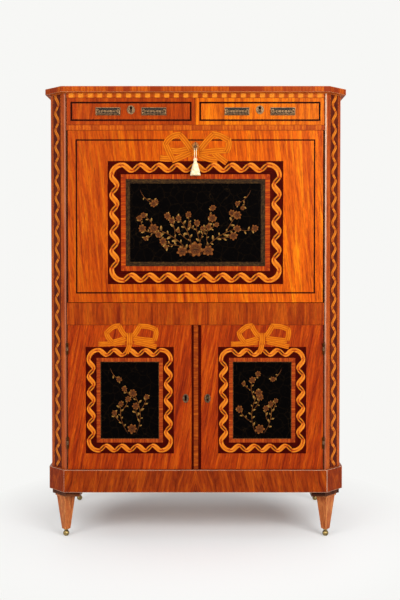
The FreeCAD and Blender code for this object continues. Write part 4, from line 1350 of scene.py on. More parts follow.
@dataclass
class FlowerSpray:
    """Generic gold sprays on a lacquer panel: stems with leaves and round blossoms.

    A stem or blossom stands `out` from the panel's middle and `rise` above its foot, or under its head where
    that is below zero. Angles are in degrees.
    """

    face: Face
    panel: Box
    seed: int
    leaf: float = 17 * MM
    petal: float = 10.5 * MM
    stem: float = 1.9 * MM
    gap: float = 12 * MM
    shortest: float = 60 * MM
    leaf_turn: Point = (38, 70)
    leaf_size: Point = (0.55, 1.1)
    leaf_shrink: float = 0.85
    side_turn: Point = (35, 60)
    side_length: Point = (0.36, 0.52)
    side_bend: Point = (20, 60)
    tip_size: Point = (0.75, 1.25)
    petal_size: Point = (0.9, 1.1)

    # Least number of leaves on a stem, and how many leaves stand between its side stems.
    LEAST_LEAVES, SIDE_EVERY = 4, 3
    # Size of the blossom at the tip of a first stem, and how much less it is on each stem sprung from it.
    TIP, TIP_LESS = 1.25, 0.2
    # Number of petals and their size in the outer and the inner ring.
    RINGS = ((7, 1.0), (5, 0.62))
    RING_LIFT = 0.05 * MM
    HEARTS, HEART_SIZE, HEART_LIFT = 4, 0.3, 0.1 * MM
    # Widths of leaves, petals and hearts against their lengths, and how much a stem thins to its tip.
    LEAF_WIDTH, PETAL_WIDTH, HEART_WIDTH = 0.42, 0.62, 0.8
    STEM_THINS = 0.6

    def __post_init__(self) -> None:
        """Start the seeded draws and the empty lists."""
        self.draw = random.Random(self.seed)
        self.stems: list[list[Point]] = []
        self.leaves = Spots()
        self.petals = Spots()
        self.hearts = Spots()

    def spot(self, side: int, out: float, rise: float) -> Point:
        """The place of what stands so far out and up, on the panel's right side (1) or its left (-1)."""
        (left, foot), (right, head) = self.panel
        return (left + right) / 2 + side * out, (foot if rise > 0 else head) + rise

    def grow(self, side: int, stems: Sequence[Stem]) -> None:
        """Grow stems on one side of the panel.

        Args:
            side: 1 for the right side and -1 for the left.
            stems: The stems.
        """
        for stem in stems:
            start = self.spot(side, stem.out, stem.rise)
            self.branch(start, side * stem.heading, stem.length, side * stem.bend, stem.depth)

    def bloom(self, side: int, blooms: Sequence[Bloom]) -> None:
        """Set large blossoms on the panel's right side (1) or its left (-1)."""
        for one in blooms:
            self.blossom(self.spot(side, one.out, one.rise), one.size)

    def branch(self, start: Point, heading: float, length: float, bend: float, depth: int) -> None:
        """Grow one stem with its leaves, side stems and a blossom at its tip.

        Args:
            start: Foot of the stem.
            heading: Its first direction, in degrees from upright towards the right.
            length: Its length.
            bend: How far it turns along its length, in degrees.
            depth: How many stems it springs from.
        """
        count = max(self.LEAST_LEAVES, round(length / self.gap))
        point = Vector(start)
        line = [tuple(point)]
        for i in range(count):
            angle = math.radians(heading + bend * i / count)
            point = point + Vector((math.sin(angle), math.cos(angle))) * (length / count)
            line.append(tuple(point))
            side = 1 if i % 2 else -1
            if i > 0:
                turn = angle + side * math.radians(self.draw.uniform(*self.leaf_turn))
                size = self.draw.uniform(*self.leaf_size) * self.leaf_shrink ** depth
                self.leaves.put(self.face.at(tuple(point)), turn, size)
            if length > self.shortest and i % self.SIDE_EVERY == self.SIDE_EVERY - 1:
                turn = math.degrees(angle) + side * self.draw.uniform(*self.side_turn)
                self.branch(tuple(point), turn, length * self.draw.uniform(*self.side_length),
                            -side * self.draw.uniform(*self.side_bend), depth + 1)
        self.stems.append(line)
        size = self.draw.uniform(*self.tip_size) * (self.TIP - self.TIP_LESS * depth)
        self.blossom(tuple(point), size)

    def blossom(self, centre: Point, size: float) -> None:
        """Set one round blossom of two rings of petals.

        Args:
            centre: Its middle.
            size: Its size.
        """
        first = self.draw.uniform(0, math.tau)
        for ring, (count, share) in enumerate(self.RINGS):
            for i in range(count):
                turn = first + math.tau * (i + 0.5 * ring) / count
                self.petals.put(self.face.at(centre, self.RING_LIFT * ring), turn,
                                size * share * self.draw.uniform(*self.petal_size))
        for i in range(self.HEARTS):
            self.hearts.put(self.face.at(centre, self.HEART_LIFT), first + math.tau * i / self.HEARTS,
                            size * self.HEART_SIZE)

    def lay(self) -> None:
        """Lay all stems, leaves and blossoms."""
        name = f"{self.face.body}_spray"
        twigs = Inlay(self.face, GROUND_MM)
        for line in self.stems:
            last = len(line) - 1
            widths = [self.stem * (1 - self.STEM_THINS * i / last) for i in range(last + 1)]
            twigs.band(line, widths, Almond.veined, Inlay.VEINED)
        twigs.finish(f"{name}_stems", Finishes.RUST_GOLD, PANEL)
        for tag, spots, length, width, proud_mm, finish in (
                ("leaves", self.leaves, self.leaf, self.LEAF_WIDTH, LEAF_MM, Finishes.GOLD),
                ("petals", self.petals, self.petal, self.PETAL_WIDTH, PETAL_MM, Finishes.RUST_GOLD),
                ("hearts", self.hearts, self.petal, self.HEART_WIDTH, HEART_MM, Finishes.GOLD)):
            unit = Almond(length, length * width, proud_mm).unit(self.face)
            keep(Repeat.lay(f"{name}_{tag}", unit, spots, finish), self.face.body)


@dataclass(frozen=True)
class KeyholeRim:
    """Painted shadow round a keyhole: a dark ring on the front of its plate that makes the hole read larger
    and darker.
    """

    plate: float = 1.6 * MM
    eye: float = 3.4 * MM
    slot: float = 2.5 * MM
    drop: float = 14.0 * MM
    rim: float = 1.2 * MM
    steps: int = 12

    def lay(self, front: Face, centre: Point) -> None:
        """Lay the ring of painted shadow.

        Args:
            front: The front plane that carries the plate.
            centre: Middle of the keyhole's eye.
        """
        middle, side = self.eye + self.rim / 2, self.slot + self.rim / 2
        foot = -self.drop - self.rim / 2
        start = math.asin(side / middle)
        line = [(-side, foot)]
        for i in range(self.steps + 1):
            angle = math.pi + start + (math.tau - 2 * start) * i / self.steps
            line.append((middle * math.sin(angle), middle * math.cos(angle)))
        line += [(side, foot), (-side, foot)]
        laid = Inlay(front.moved(self.plate), KEYHOLE_MM)
        route = [(centre[0] + u, centre[1] + v) for u, v in line]
        laid.band(route, [self.rim] * len(route), unscorched, Inlay.PLAIN)
        laid.finish(f"{front.body}_keyhole", Finishes.TARNISH, METAL)


@dataclass
class Carcass:
    """The fixed case: veneers of the top, posts, rails and plinth, and their bands."""

    # Frieze blocks: their pitch, and half their width and height against the pitch and the rail.
    block: float = 30 * MM
    block_half: float = 0.25
    block_rise: float = 0.48
    # Scorching between the blocks: how dark it is in the middle, and how much it varies.
    frieze_dark: float = 0.66
    frieze_vary: Point = (-0.2, 0.12)
    # Lengths in millimetres and scorchings of the pieces along the rail.
    rail_cuts: Point = (16, 34)
    rail_tones: tuple[float, ...] = (0.0, 0.0, 0.2, 0.55)
    # Cant of the top, and the band round its edge.
    top_cant: float = 60.2 * MM
    edge: float = 16 * MM
    edge_drop: float = 1 * MM
    edge_cuts: Point = (18, 46)
    edge_tones: tuple[float, ...] = (0.15, 0.4, 0.65, 0.95)
    # Cant of the posts, and the strip on it with its lines and its ribbon.
    cant: float = 51 * MM
    strip: float = 40 * MM
    strip_end: float = 2 * MM
    shift: float = 2 * MM
    line_out: float = 1 * MM
    line_half: float = 1.2 * MM
    ribbon_end: float = 4 * MM
    # Arrises of the posts: a painted highlight, paler on the right post and towards the head, and a dark
    # line of painted gap shadow beside each: width, margins, the dark line's width, and how the highlight's
    # tone runs.
    lip: float = 5.0 * MM
    lip_in: float = 0.5 * MM
    lip_end: float = 1 * MM
    gap: float = 2.3 * MM
    lengths: int = 24
    pale_from: float = 0.85
    left_dark: float = 0.82

    def dress(self) -> None:
        """Paint the solids and lay the bands."""
        paint(Finishes.TOP, "top_board")
        paint(Finishes.POST, "corner_posts")
        paint(Finishes.CASE, "side_panels")
        paint(Finishes.RAIL, "frieze_rail", "drawer_rail", "mid_rail")
        paint(Finishes.PLINTH, "plinth_boards")
        paint(Finishes.LEG, "front_legs", "back_legs")
        paint(Finishes.EBONISED, "leg_blocks")
        paint(Finishes.BRASS, "ball_feet", "fall_pivot_sockets")
        paint(Finishes.HINGE, "door_hinges")
        paint(Finishes.OAK, "back_panels", "drawer_partition", "bearers")
        paint(Finishes.OAK_FLAT, "drawer_deck", "dust_board", "cupboard_floor", "cupboard_shelf")
        self.frieze()
        self.rail()
        self.top_edge()
        self.posts()

    def frieze(self) -> None:
        """Chequered blocks along the frieze."""
        face = front_face("frieze_rail", "case")
        low, high = front_box("frieze_rail")
        ground = Inlay(face, GROUND_MM)
        draw = random.Random(FRIEZE_SEED)
        count = round((high[0] - low[0]) / self.block)
        pitch = (high[0] - low[0]) / count
        for i in range(count + 1):
            ends = [min(max(low[0] + (i + end) * pitch, low[0]), high[0]) for end in (-0.5, 0.5)]
            shade = self.frieze_dark * (1 - abs(2 * i / count - 1) ** 2) + draw.uniform(*self.frieze_vary)
            ground.bar((ends[0], low[1]), (ends[1], high[1]), shade=max(0.0, shade))
        ground.finish("frieze_ground", Finishes.CROSSBAND)
        light = Inlay(face.turned(), BLOCK_MM)
        half = (pitch * self.block_half, (high[1] - low[1]) * self.block_rise)
        light.bar((-half[0], -half[1]), half)
        spots = Spots()
        for i in range(count):
            spots.put(face.at((low[0] + (i + 0.5) * pitch, (low[1] + high[1]) / 2)))
        keep(Repeat.lay("frieze_blocks", light.unit("frieze_block"), spots, Finishes.RIBBON), "case")

    @staticmethod
    def pieced(laid: Inlay, draw: random.Random, span: Point, levels: Point, cuts: Point,
               tones: Sequence[float]) -> None:
        """Lay a band in short lengths of differing tone.

        Args:
            laid: The inlay that takes them.
            draw: The seeded draws.
            span: Start and end of the band.
            levels: Its lower and upper edges.
            cuts: Least and greatest length in millimetres.
            tones: Scorchings to choose from.
        """
        at, end = span
        while at < end - SLIVER:
            step = min(draw.uniform(*cuts) * MM, end - at)
            laid.bar((at, levels[0]), (at + step, levels[1]), shade=draw.choice(tones))
            at += step

    def rail(self) -> None:
        """Crossband along the rail under the drawers."""
        laid = Inlay(front_face("drawer_rail", "case"), GROUND_MM)
        (left, foot), (right, head) = front_box("drawer_rail")
        draw = random.Random(RAIL_SEED)
        self.pieced(laid, draw, (left, right), (foot, head), self.rail_cuts, self.rail_tones)
        laid.finish("drawer_rail_band", Finishes.CROSSBAND)

    def top_edge(self) -> None:
        """Barred crossband round the edge of the top: the front, both cants, then both sides."""
        draw = random.Random(SEED)
        (left, front, _), (right, back, head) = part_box("top_board")
        cant = self.top_cant
        wide, deep, slant = right - left - 2 * cant, back - front - cant, cant * math.sqrt(2)
        levels = (-self.edge - self.edge_drop, -self.edge_drop)
        edges = (((left + cant, front), (1, 0), wide),
                 ((right - cant, front), (SLOPE, SLOPE), slant),
                 ((left, front + cant), (SLOPE, -SLOPE), slant),
                 ((right, front + cant), (0, 1), deep),
                 ((left, back), (0, -1), deep))
        for index, (corner, way, length) in enumerate(edges):
            laid = Inlay(Face("case", Vector((*corner, head)), Vector((*way, 0))), GROUND_MM)
            self.pieced(laid, draw, (0.0, length), levels, self.edge_cuts, self.edge_tones)
            laid.finish(f"top_edge_{index + 1}", Finishes.CROSSBAND)

    def posts(self) -> None:
        """Rosewood strips with a waving ribbon on the cants, and the painted arris highlights beside them.
        """
        (_, front, foot), (right, _, head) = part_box("corner_posts")
        tall = head - foot
        middle = front + self.cant / 2 + self.shift * SLOPE
        reach = right - self.cant / 2 + self.shift * SLOPE
        for hand in (Hand.RIGHT, Hand.LEFT):
            side = hand.value
            face = Face("case", Vector((side * reach, middle, foot)), Vector((SLOPE, side * SLOPE, 0)))
            self.post_strip(hand, face, tall)
        self.arrises(Face("case", Vector((0.0, front, foot)), Vector((1, 0, 0))), right - self.cant, tall)

    def post_strip(self, hand: Hand, face: Face, tall: float) -> None:
        """Lay the strip of one post.

        Args:
            hand: Which post it is.
            face: The face of its cant, from the middle of its foot.
            tall: Height of the post.
        """
        name = f"post_{hand.word}"
        half, end = self.strip / 2, self.strip_end
        ground = Inlay(face, GROUND_MM)
        ground.bar((-half, end), (half, tall - end), upright=True)
        ground.finish(f"{name}_ground", Finishes.POST_GROUND)
        lines = Inlay(face, BAND_MM)
        for side in (-1, 1):
            middle = side * (half + self.line_out)
            lines.bar((middle - self.line_half, end), (middle + self.line_half, tall - end), upright=True)
        lines.finish(f"{name}_lines", Finishes.CROSSBAND)
        length = tall - 2 * self.ribbon_end
        count = round(length / POST_RIBBON.pitch)
        pitch, start = length / count, (0.0, tall - self.ribbon_end)
        for tag, behind in (("front", False), ("back", True)):
            spots = Spots()
            POST_RIBBON.run(face, start, True, count, pitch, behind, True, spots)
            unit = POST_RIBBON.stroke(face, pitch, True, hand is Hand.RIGHT, behind)
            keep(Repeat.lay(f"{name}_ribbon_{tag}", unit, spots, Finishes.RIBBON), "case")

    def arrises(self, face: Face, outer: float, tall: float) -> None:
        """Lay the painted highlight on the arrises of the posts, paler towards the head and on the right
        post, with a dark line of painted gap shadow inside each.

        Args:
            face: The front plane of the posts, from their foot.
            outer: Distance of the arrises from the middle.
            tall: Height of the posts.
        """
        worn, dark = Inlay(face, GROUND_MM), Inlay(face, GROUND_MM)
        step = (tall - 2 * self.lip_end) / self.lengths
        for hand in Hand:
            side = hand.value
            left, right = sorted((side * (outer - self.lip), side * (outer - self.lip_in)))
            for i in range(self.lengths):
                # Painted highlight: palest at the head of the right post, shaded towards the foot and on the
                # left post.
                fade = max(0.0, 1 - (i + 0.5) / self.lengths / self.pale_from)
                shade = fade if hand is Hand.RIGHT else self.left_dark + (1 - self.left_dark) * fade
                foot = self.lip_end + i * step
                worn.bar((left, foot), (right, foot + step), upright=True, shade=shade)
            # The dark line is painted shadow of the gap at the opening.
            left, right = sorted((side * (outer - self.lip - self.gap), side * (outer - self.lip)))
            dark.bar((left, self.lip_end), (right, tall - self.lip_end), upright=True)
        worn.finish("post_arrises", Finishes.WORN)
        dark.finish("post_edges", Finishes.STRING)


@dataclass
class Drawers:
    """The frieze drawers and their brasses."""

    inset: float = 12 * MM
    line: float = 5.4 * MM
    plate: Point = (79 * MM, 25 * MM)
    thick: float = 1.6 * MM
    ground_in: float = 0.5 * MM
    rim_in: float = 0.4 * MM
    rim: float = 1.5 * MM
    leaf: float = 8.5 * MM
    leaf_width: float = 0.5
    leaf_gap: float = 9.5 * MM
    leaf_lean: float = 0.9
    leaves: int = 3
    key_rise: float = 11.5 * MM

    def dress(self) -> None:
        """Paint both drawers, lay their stringing and ornament their plates."""
        for hand, veneer in ((Hand.LEFT, Finishes.DRAWER_LEFT), (Hand.RIGHT, Finishes.DRAWER_RIGHT)):
            name = f"drawer_{hand.word}"
            paint(veneer, f"{name}_front")
            paint(Finishes.OAK_FLAT, f"{name}_box")
            paint(Finishes.PLATE, f"{name}_brasses", f"{name}_bail_inner", f"{name}_bail_outer")
            paint(Finishes.STEEL, f"{name}_bolt")
            face = front_face(f"{name}_front", name)
            low, high = front_box(f"{name}_front")
            middle = ((low[0] + high[0]) / 2, (low[1] + high[1]) / 2)
            string = Inlay(face, STRING_MM)
            string.ring((low, high), self.inset, self.line)
            string.finish(f"{name}_stringing", Finishes.STRING)
            self.plates(face.moved(self.thick), middle[1])
            # Painted shadow round the keyhole.
            KeyholeRim().lay(face, (middle[0], middle[1] + self.key_rise))

    def plates(self, face: Face, level: float) -> None:
        """Raised borders and leaf chasing on the tarnished ground of the handle plates.

        Args:
            face: Front plane of the drawer's plates.
            level: Height of the middle of the plates.
        """
        name = face.body
        half = (self.plate[0] / 2, self.plate[1] / 2)
        turns = [way + lean for way in (0.0, math.pi) for lean in (-self.leaf_lean, self.leaf_lean)]
        for tag in ("inner", "outer"):
            low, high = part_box(f"{name}_bail_{tag}")
            middle = (low[0] + high[0]) / 2
            corners = ((middle - half[0], level - half[1]), (middle + half[0], level + half[1]))
            ground = Inlay(face, TARNISH_MM)
            ground.bar(*widened(corners, -self.ground_in))
            ground.finish(f"{name}_plate_ground_{tag}", Finishes.TARNISH, METAL)
            rim = Inlay(face, RIM_MM)
            rim.ring(corners, self.rim_in, self.rim)
            rim.finish(f"{name}_plate_rim_{tag}", Finishes.PLATE, METAL)
            spots = Spots()
            for i in range(-self.leaves, self.leaves + 1):
                for turn in turns:
                    spots.put(face.at((middle + i * self.leaf_gap, level)), turn)
            leaf = Almond(self.leaf, self.leaf * self.leaf_width, CHASING_MM).unit(face)
            keep(Repeat.lay(f"{name}_plate_chasing_{tag}", leaf, spots, Finishes.PLATE), name)


def bands_round(face: Face, panel: Box, bands: Sequence[tuple[str, float, Finish, float]]) -> Box:
    """Lay mitred bands round a panel, from the inside outwards.

    Args:
        face: The face that carries them.
        panel: The panel.
        bands: Name, width, finish and scorching of each band.

    Returns:
        The middle line of the last band.
    """
    reach = width = 0.0
    for tag, width, finish, shade in bands:
        laid = Inlay(face, BAND_MM)
        reach += width
        laid.ring(panel, -reach, width, shade)
        laid.finish(f"{face.body}_{tag}", finish)
    return widened(panel, reach - width / 2)


@dataclass
class FallFront:
    """The fall: bands, ribbon border, bow and the lacquer panel with its sprays."""

    margin: float = 28 * MM
    line: float = 4.5 * MM
    # Width of the dark bars at the fall's sides, painted shadow of the gaps beside it.
    edge: float = 3.0 * MM
    frame_band: float = 14 * MM
    frame_dark: float = 0.2
    red_band: float = 15 * MM
    dark_band: float = 42 * MM
    bow_at: Point = (0.0, 1251 * MM)
    stems: tuple[Stem, ...] = (
        Stem(16 * MM, 22 * MM, 34, 148 * MM, 44), Stem(10 * MM, 30 * MM, 4, 120 * MM, 40, 1),
        Stem(176 * MM, -22 * MM, 205, 62 * MM, 50, 2))
    blooms: tuple[Bloom, ...] = (Bloom(0.0, 40 * MM, 2.2), Bloom(-42 * MM, 34 * MM, 1.6),
                                 Bloom(40 * MM, 36 * MM, 1.7))

    def dress(self) -> None:
        """Paint the solids and lay the marquetry."""
        paint(Finishes.FALL, "fall_board")
        paint(Finishes.LACQUER, "fall_lacquer_panel")
        paint(Finishes.LEATHER, "fall_writing_leather")
        paint(Finishes.BRASS, "fall_lock")
        paint(Finishes.DOORPLATE, "key")
        paint(Finishes.GILT, "fall_escutcheon")
        paint(Finishes.STEEL, "fall_pivots", "fall_bolt")
        face = front_face("fall_board", "fall")
        low, high = front_box("fall_board")
        string = Inlay(face, STRING_MM)
        string.ring((low, high), self.margin, self.line)
        # Dark bars at both sides: painted shadow of the gaps beside the fall.
        for left, right in ((low[0], low[0] + self.edge), (high[0] - self.edge, high[0])):
            string.bar((left, low[1]), (right, high[1]), upright=True)
        string.finish("fall_stringing", Finishes.STRING)
        panel = front_box("fall_lacquer_panel")
        border = bands_round(face, panel, (
            ("frame", self.frame_band, Finishes.FRAME, self.frame_dark),
            ("crossband", self.red_band, Finishes.REDBAND, 0.0),
            ("ground", self.dark_band, Finishes.ROSEWOOD, 0.0)))
        FALL_RIBBON.border(face, border)
        FALL_BOW.lay(face, self.bow_at)
        spray = FlowerSpray(face, panel, FALL_SEED)
        for hand in Hand:
            spray.grow(hand.value, self.stems)
        spray.bloom(Hand.RIGHT.value, self.blooms)
        spray.lay()


@dataclass
class CupboardDoor:
    """One cupboard door: ribbon border, bow, and the lacquer panel with an upright spray."""

    hand: Hand
    line: float = 2.0 * MM
    red_band: float = 12 * MM
    dark_band: float = 35 * MM
    bow_rise: float = 77 * MM
    key_inset: float = 35.0 * MM
    key_level: float = 463.5 * MM
    leaf: float = 14 * MM
    petal: float = 9 * MM
    stems: tuple[Stem, ...] = (
        Stem(-20 * MM, 16 * MM, -24, 136 * MM, 62), Stem(6 * MM, 16 * MM, 34, 100 * MM, -48),
        Stem(62 * MM, -20 * MM, 200, 46 * MM, 50, 1))
    blooms: tuple[Bloom, ...] = (Bloom(-8 * MM, 30 * MM, 1.7),)

    def dress(self) -> None:
        """Paint the solids and lay the marquetry."""
        body, side = f"door_{self.hand.word}", self.hand.value
        paint(Finishes.DOOR, f"{body}_board")
        paint(Finishes.LACQUER, f"{body}_lacquer_panel")
        paint(Finishes.DOORPLATE, f"{body}_brasses")
        face = front_face(f"{body}_board", body)
        panel = front_box(f"{body}_lacquer_panel")
        border = bands_round(face, panel, (
            ("fillet", self.line, Finishes.FRAME, 0.0), ("crossband", self.red_band, Finishes.DOORBAND, 0.0),
            ("ground", self.dark_band, Finishes.ROSEWOOD, 0.0)))
        DOOR_RIBBON.border(face, border, self.hand is Hand.RIGHT)
        (left, _), (right, head) = panel
        DOOR_BOW.lay(face, ((left + right) / 2, head + self.bow_rise))
        seed = RIGHT_SEED if self.hand is Hand.RIGHT else LEFT_SEED
        spray = FlowerSpray(face, panel, seed, leaf=self.leaf, petal=self.petal)
        spray.grow(side, self.stems)
        spray.bloom(side, self.blooms)
        spray.lay()
        (left, _), (right, _) = front_box("meeting_stile")
        key_at = ((left + right) / 2 + side * self.key_inset, self.key_level)
        # Painted shadow round the keyhole.
        KeyholeRim().lay(face, key_at)


@dataclass
class MeetingStile:
    """The stile where the doors meet: a crossbanded strip between a narrow ebony line and a broad one, which
    is ebony stringing widened by painted shade beside the stile's edge.
    """

    near: float = 5.5 * MM
    # The far line is ebony stringing widened by painted shade.
    far: float = 9.5 * MM

    def dress(self) -> None:
        """Paint the stile, lock and bolt, and lay its strips."""
        paint(Finishes.DOOR, "meeting_stile")
        paint(Finishes.BRASS, "door_lock")
        paint(Finishes.STEEL, "door_bolt")
        face = front_face("meeting_stile", "door_right")
        (left, foot), (right, head) = front_box("meeting_stile")
        band = Inlay(face, GROUND_MM)
        band.bar((left + self.near, foot), (right - self.far, head), upright=True)
        band.finish("stile_band", Finishes.STILE)
        lines = Inlay(face, BAND_MM)
        lines.bar((left, foot), (left + self.near, head), upright=True)
        # Broad line: ebony stringing and painted shade.
        lines.bar((right - self.far, foot), (right, head), upright=True)
        lines.finish("stile_lines", Finishes.ROSEWOOD)


class Interior:
    """What shows when the fall is let down."""

    def dress(self) -> None:
        """Paint the writing deck, pigeonholes and small drawers."""
        paint(Finishes.INSIDE, "writing_deck", "pigeonhole_boards")
        for tag in ("left", "centre", "right"):
            paint(Finishes.INSIDE, f"small_drawer_{tag}")
            paint(Finishes.EBONISED, f"small_knob_{tag}")


def skin(name: str, rings: list[list[tuple[Vector, float]]]) -> bpy.types.Object:
    """Close rings of points to one smooth form.

    Args:
        name: Name of the object.
        rings: Rings with the same number of points, each point with its painted shade.

    Returns:
        The object.
    """
    form = bmesh.new()
    shade = form.verts.layers.float.new("shade")
    laid = []
    for ring in rings:
        laid.append([form.verts.new(place) for place, _dark in ring])
        for vert, (_place, dark) in zip(laid[-1], ring):
            vert[shade] = dark
    for first, second in zip(laid, laid[1:]):
        for k, point in enumerate(first):
            after = (k + 1) % len(first)
            form.faces.new((point, second[k], second[after], first[after]))
    form.faces.new(laid[0])
    form.faces.new(list(reversed(laid[-1])))
    data = plain_mesh(name, form)
    data.shade_smooth()
    return set_out(name, data)


@dataclass
class KeyTassel:
    """The cord over the bow of the key, and the silk tassel that replaces its plain solid."""

    cord: float = 1.6 * MM
    loop: float = 2.8 * MM
    head: float = 6.5 * MM
    binding: float = 4 * MM
    lap: float = 3 * MM
    strands: int = 88
    head_sides: int = 40
    head_rings: int = 30
    # Neck between the head and the skirt.
    neck: float = 4.8 * MM
    neck_from: float = 3.2 * MM
    neck_spread: float = 2.0 * MM
    crown: float = 0.3 * MM
    # Silk wound round the head, with painted shade in the grooves between the windings.
    windings: int = 10
    winding_turns: float = 3.2
    winding_depth: float = 0.06
    winding_shade: float = 0.3
    # Threads of the skirt, with painted shade on the inner side of each.
    thread: float = 1.15 * MM
    thread_ends: Point = (0.85, 0.25)
    thread_rows: int = 9
    thread_sides: int = 5
    thread_in: float = 5.0 * MM
    thread_edge: float = 6.4 * MM
    thread_bell: float = 0.8
    thread_top: float = 2 * MM
    thread_past: float = 1.8 * MM
    thread_shade: float = 0.35
    thread_sizes: tuple[float, ...] = (1.0, 0.97, 0.93)
    thread_vary: Point = (0.985, 1.0)
    thread_wander: Point = (-0.3, 0.3)

    # Smoothness of the cord: sides of its round, order of its curve and steps between its points.
    CORD_ROUND, CORD_ORDER, CORD_STEPS = 4, 3, 12

    def dress(self) -> None:
        """Make the skirt, the head and the cord."""
        low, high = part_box("tassel")
        x, y = (low[0] + high[0]) / 2, (low[1] + high[1]) / 2
        top = high[2]
        skirt_top = top - 2 * self.head - self.binding
        skirt = self.skirt(Vector((x, y, skirt_top)), skirt_top - low[2] - self.lap, (high[0] - low[0]) / 2)
        knob = self.knob(Vector((x, y, top - self.head)), skirt_top)
        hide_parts("tassel")
        cord_low, cord_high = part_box("tassel_cord")
        base, arch = cord_low[2], cord_high[2] - self.cord / 2 - self.loop
        line = self.strand(x, y, base, arch)
        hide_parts("tassel_cord")
        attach(line, "cord")
        LOG.info("%s hangs from the key", line.name)

    def strand(self, x: float, y: float, base: float, arch: float) -> bpy.types.Object:
        """The cord: up one side, over the bow of the key and down the other.

        Args:
            x: Middle of the loop.
            y: Depth of the loop.
            base: Height of its ends.
            arch: Height where its straight parts end.

        Returns:
            The cord, not yet riding on a body.
        """
        side = [(-self.loop, z) for z in (base, (base + arch) / 2, arch, arch + self.loop)]
        route = side + [(-u, z) for u, z in reversed(side)]
        data = bpy.data.curves.new("tassel_cord_line", "CURVE")
        data.dimensions = "3D"
        data.bevel_depth = self.cord / 2
        data.bevel_resolution = self.CORD_ROUND
        data.use_fill_caps = True
        spline = data.splines.new("NURBS")
        spline.points.add(len(route) - 1)
        for point, (u, z) in zip(spline.points, route):
            point.co = (x + u, y, z, 1.0)
        spline.order_u = self.CORD_ORDER
        spline.use_endpoint_u = True
        spline.resolution_u = self.CORD_STEPS
        data.materials.append(Finishes.get(Finishes.SILK))
        return set_out("tassel_cord_line", data)

    def knob(self, centre: Vector, skirt_top: float) -> bpy.types.Object:
        """The wound head and the binding under it, turned as one closed form, with painted shade in the
        grooves of the windings.

        Args:
            centre: Middle of the head.
            skirt_top: Height of the top of the skirt.

        Returns:
            The piece.
        """
        drop = centre.z - skirt_top + self.lap
        rings = []
        for i in range(self.head_rings + 1):
            share = i / self.head_rings
            z = self.head - share * (self.head + drop)
            ball = math.sqrt(max(0.0, self.head ** 2 - z * z)) if z > -self.head else 0.0
            neck = self.neck + self.neck_spread * max(0.0, (-z - self.head) / self.binding)
            radius = max(ball, neck if z < -self.neck_from else 0.0, self.crown)
            ring = []
            for k in range(self.head_sides):
                angle = math.tau * k / self.head_sides
                twist = 0.5 + 0.5 * math.sin(self.windings * angle + self.winding_turns * share * math.tau)
                r = radius * (1 - self.winding_depth + self.winding_depth * twist)
                place = centre + Vector((r * math.cos(angle), r * math.sin(angle), z))
                # Painted shade in the grooves between the windings.
                ring.append((place, self.winding_shade * (1 - twist)))
            rings.append(ring)
        piece = skin("tassel_head", rings)
        piece.data.materials.append(Finishes.get(Finishes.SILK))
        return keep(piece, "tassel_body")

    def skirt(self, top: Vector, length: float, spread: float) -> bpy.types.Object:
        """The skirt: threads of three lengths repeated round the binding, each with painted shade on its
        inner side.

        Args:
            top: Middle of the top of the skirt.
            length: Length of the threads.
            spread: Reach of the outer threads at the foot.

        Returns:
            The piece.
        """
        rings = []
        for i in range(self.thread_rows + 1):
            share = i / self.thread_rows
            r = self.thread * (self.thread_ends[0] + self.thread_ends[1] * share)
            out = self.thread_in + (spread - self.thread_edge) * share ** self.thread_bell
            z = self.thread_top - (length + self.thread_past) * share
            ring = []
            for k in range(self.thread_sides):
                angle = math.tau * k / self.thread_sides
                place = Vector((out + r * math.cos(angle), r * math.sin(angle), z))
                # Painted shade on the inner side of the thread.
                ring.append((place, self.thread_shade * (1 - math.cos(angle)) / 2))
            rings.append(ring)
        unit = skin("tassel_thread", rings)
        draw = random.Random(SEED)
        spots = Spots()
        for i in range(self.strands):
            size = self.thread_sizes[i % len(self.thread_sizes)]
            turn = math.tau * (i + draw.uniform(*self.thread_wander)) / self.strands
            place = top + Vector((0, 0, (size - 1) * self.thread_top))
            spots.put(place, turn, size * draw.uniform(*self.thread_vary))
        return keep(Repeat.lay("tassel_skirt", unit, spots, Finishes.SILK, Axis.Z), "tassel_body")


@dataclass(frozen=True)
class Lamp:
    """A soft square lamp: its place and side in metres, and its power in watts."""

    name: str
    place: Place
    size: float
    power: float

    # The middle of the piece, which every lamp points at.
    AIM = Vector((0, 0, 0.75))

    def hang(self) -> None:
        """Hang the lamp."""
        data = bpy.data.lights.new(self.name, "AREA")
        data.size = self.size
        data.energy = self.power
        made = set_out(self.name, data)
        made.location = self.place
        made.rotation_euler = (self.AIM - Vector(self.place)).to_track_quat("-Z", "Y").to_euler()


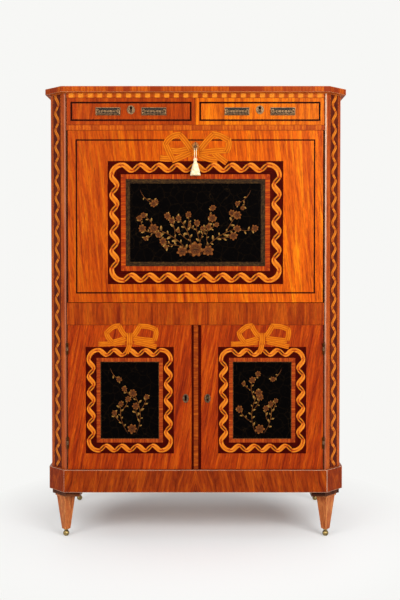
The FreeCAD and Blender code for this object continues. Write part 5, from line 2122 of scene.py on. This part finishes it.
@dataclass
class Studio:
    """Pale floor, soft lamps and the camera of the photograph.

    The focal length, the frame and its centre are in pixels of the photograph. Other lengths are in metres,
    and the tilt is in degrees.
    """

    backdrop: str = "#F7F7F5"
    paper: str = "#F4F6F7"
    floor_reach: float = 30.0
    fade: Point = (0.3, 0.84)
    world_light: float = 0.42
    distance: float = 2.8
    eye: float = 0.931
    tilt: float = 1.25
    focal: float = 877.5
    frame_size: tuple[int, int] = (400, 600)
    aside: float = 0.04
    centre: Point = (195.5, 250.3)
    sensor_mm: float = 36.0
    lamps: tuple[Lamp, ...] = (
        Lamp("key", (2.0, -3.1, 2.1), 2.2, 136.0), Lamp("fill", (-2.2, -3.1, 1.9), 2.2, 76.0),
        Lamp("over", (0.0, -0.4, 3.4), 3.4, 10.0), Lamp("rear", (0.0, 2.8, 2.6), 3.2, 30.0))

    def build(self) -> None:
        """Make the floor, the world, the lamps and the camera."""
        self.floor()
        self.world()
        for lamp in self.lamps:
            lamp.hang()
        self.camera()
        bpy.context.scene.view_settings.view_transform = "Standard"

    def floor(self) -> None:
        """A pale floor that keeps the shadow near the piece and fades to the backdrop."""
        data = bpy.data.meshes.new("floor")
        far = self.floor_reach
        corners = [(-far, -far, 0), (far, -far, 0), (far, far, 0), (-far, far, 0)]
        data.from_pydata(corners, [], [range(len(corners))])
        plane = set_out("floor", data)
        made, tree, _ = new_material("studio_floor")
        tree.nodes.clear()
        away = add(tree, "ShaderNodeVectorMath", {"operation": "LENGTH"}, {0: object_place(tree)})
        fade = remap(tree, away.outputs["Value"], 0.0, 1.0, *self.fade)
        share = calculate(tree, "MULTIPLY", fade, in_sight(tree))
        matt = add(tree, "ShaderNodeBsdfDiffuse", inputs={"Color": linear(self.paper)})
        glow = add(tree, "ShaderNodeEmission", inputs={"Color": linear(self.backdrop), "Strength": 1.0})
        mixed = add(tree, "ShaderNodeMixShader", inputs={0: share, 1: matt.outputs[0], 2: glow.outputs[0]})
        add(tree, "ShaderNodeOutputMaterial", inputs={0: mixed.outputs[0]})
        data.materials.append(made)

    def world(self) -> None:
        """A pale backdrop, and a low even light."""
        world = bpy.data.worlds.new("studio")
        bpy.context.scene.world = world
        world.use_nodes = True
        tree = world.node_tree
        tree.nodes.clear()
        level = remap(tree, in_sight(tree), self.world_light, 1.0)
        sky = add(tree, "ShaderNodeBackground", inputs={0: linear(self.backdrop), 1: level})
        add(tree, "ShaderNodeOutputWorld", inputs={0: sky.outputs[0]})

    def camera(self) -> None:
        """Set the camera where the photograph was taken; what the tilt leaves is taken up by shift."""
        wide, tall = self.frame_size
        data = bpy.data.cameras.new("camera")
        data.sensor_fit = "VERTICAL"
        data.sensor_height = self.sensor_mm
        data.sensor_width = self.sensor_mm
        data.lens = self.focal / tall * self.sensor_mm
        across, up = self.centre
        across += self.focal * self.aside / self.distance
        middle_y = up + self.focal * math.tan(math.radians(self.tilt))
        data.shift_x = (wide / 2 - across) / tall
        data.shift_y = (middle_y - tall / 2) / tall
        made = set_out("camera", data)
        made.location = (self.aside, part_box("fall_board")[0][1] - self.distance, self.eye)
        made.rotation_euler = (math.radians(90.0 - self.tilt), 0.0, 0.0)
        bpy.context.scene.camera = made


def main() -> None:
    """Build every sub-assembly in order."""
    logging.basicConfig(level=logging.INFO, format="%(name)s: %(message)s")
    Studio().build()
    KeyTassel().dress()
    Carcass().dress()
    Drawers().dress()
    FallFront().dress()
    for hand in Hand:
        CupboardDoor(hand).dress()
    MeetingStile().dress()
    Interior().dress()


if __name__ == "__main__":
    main()
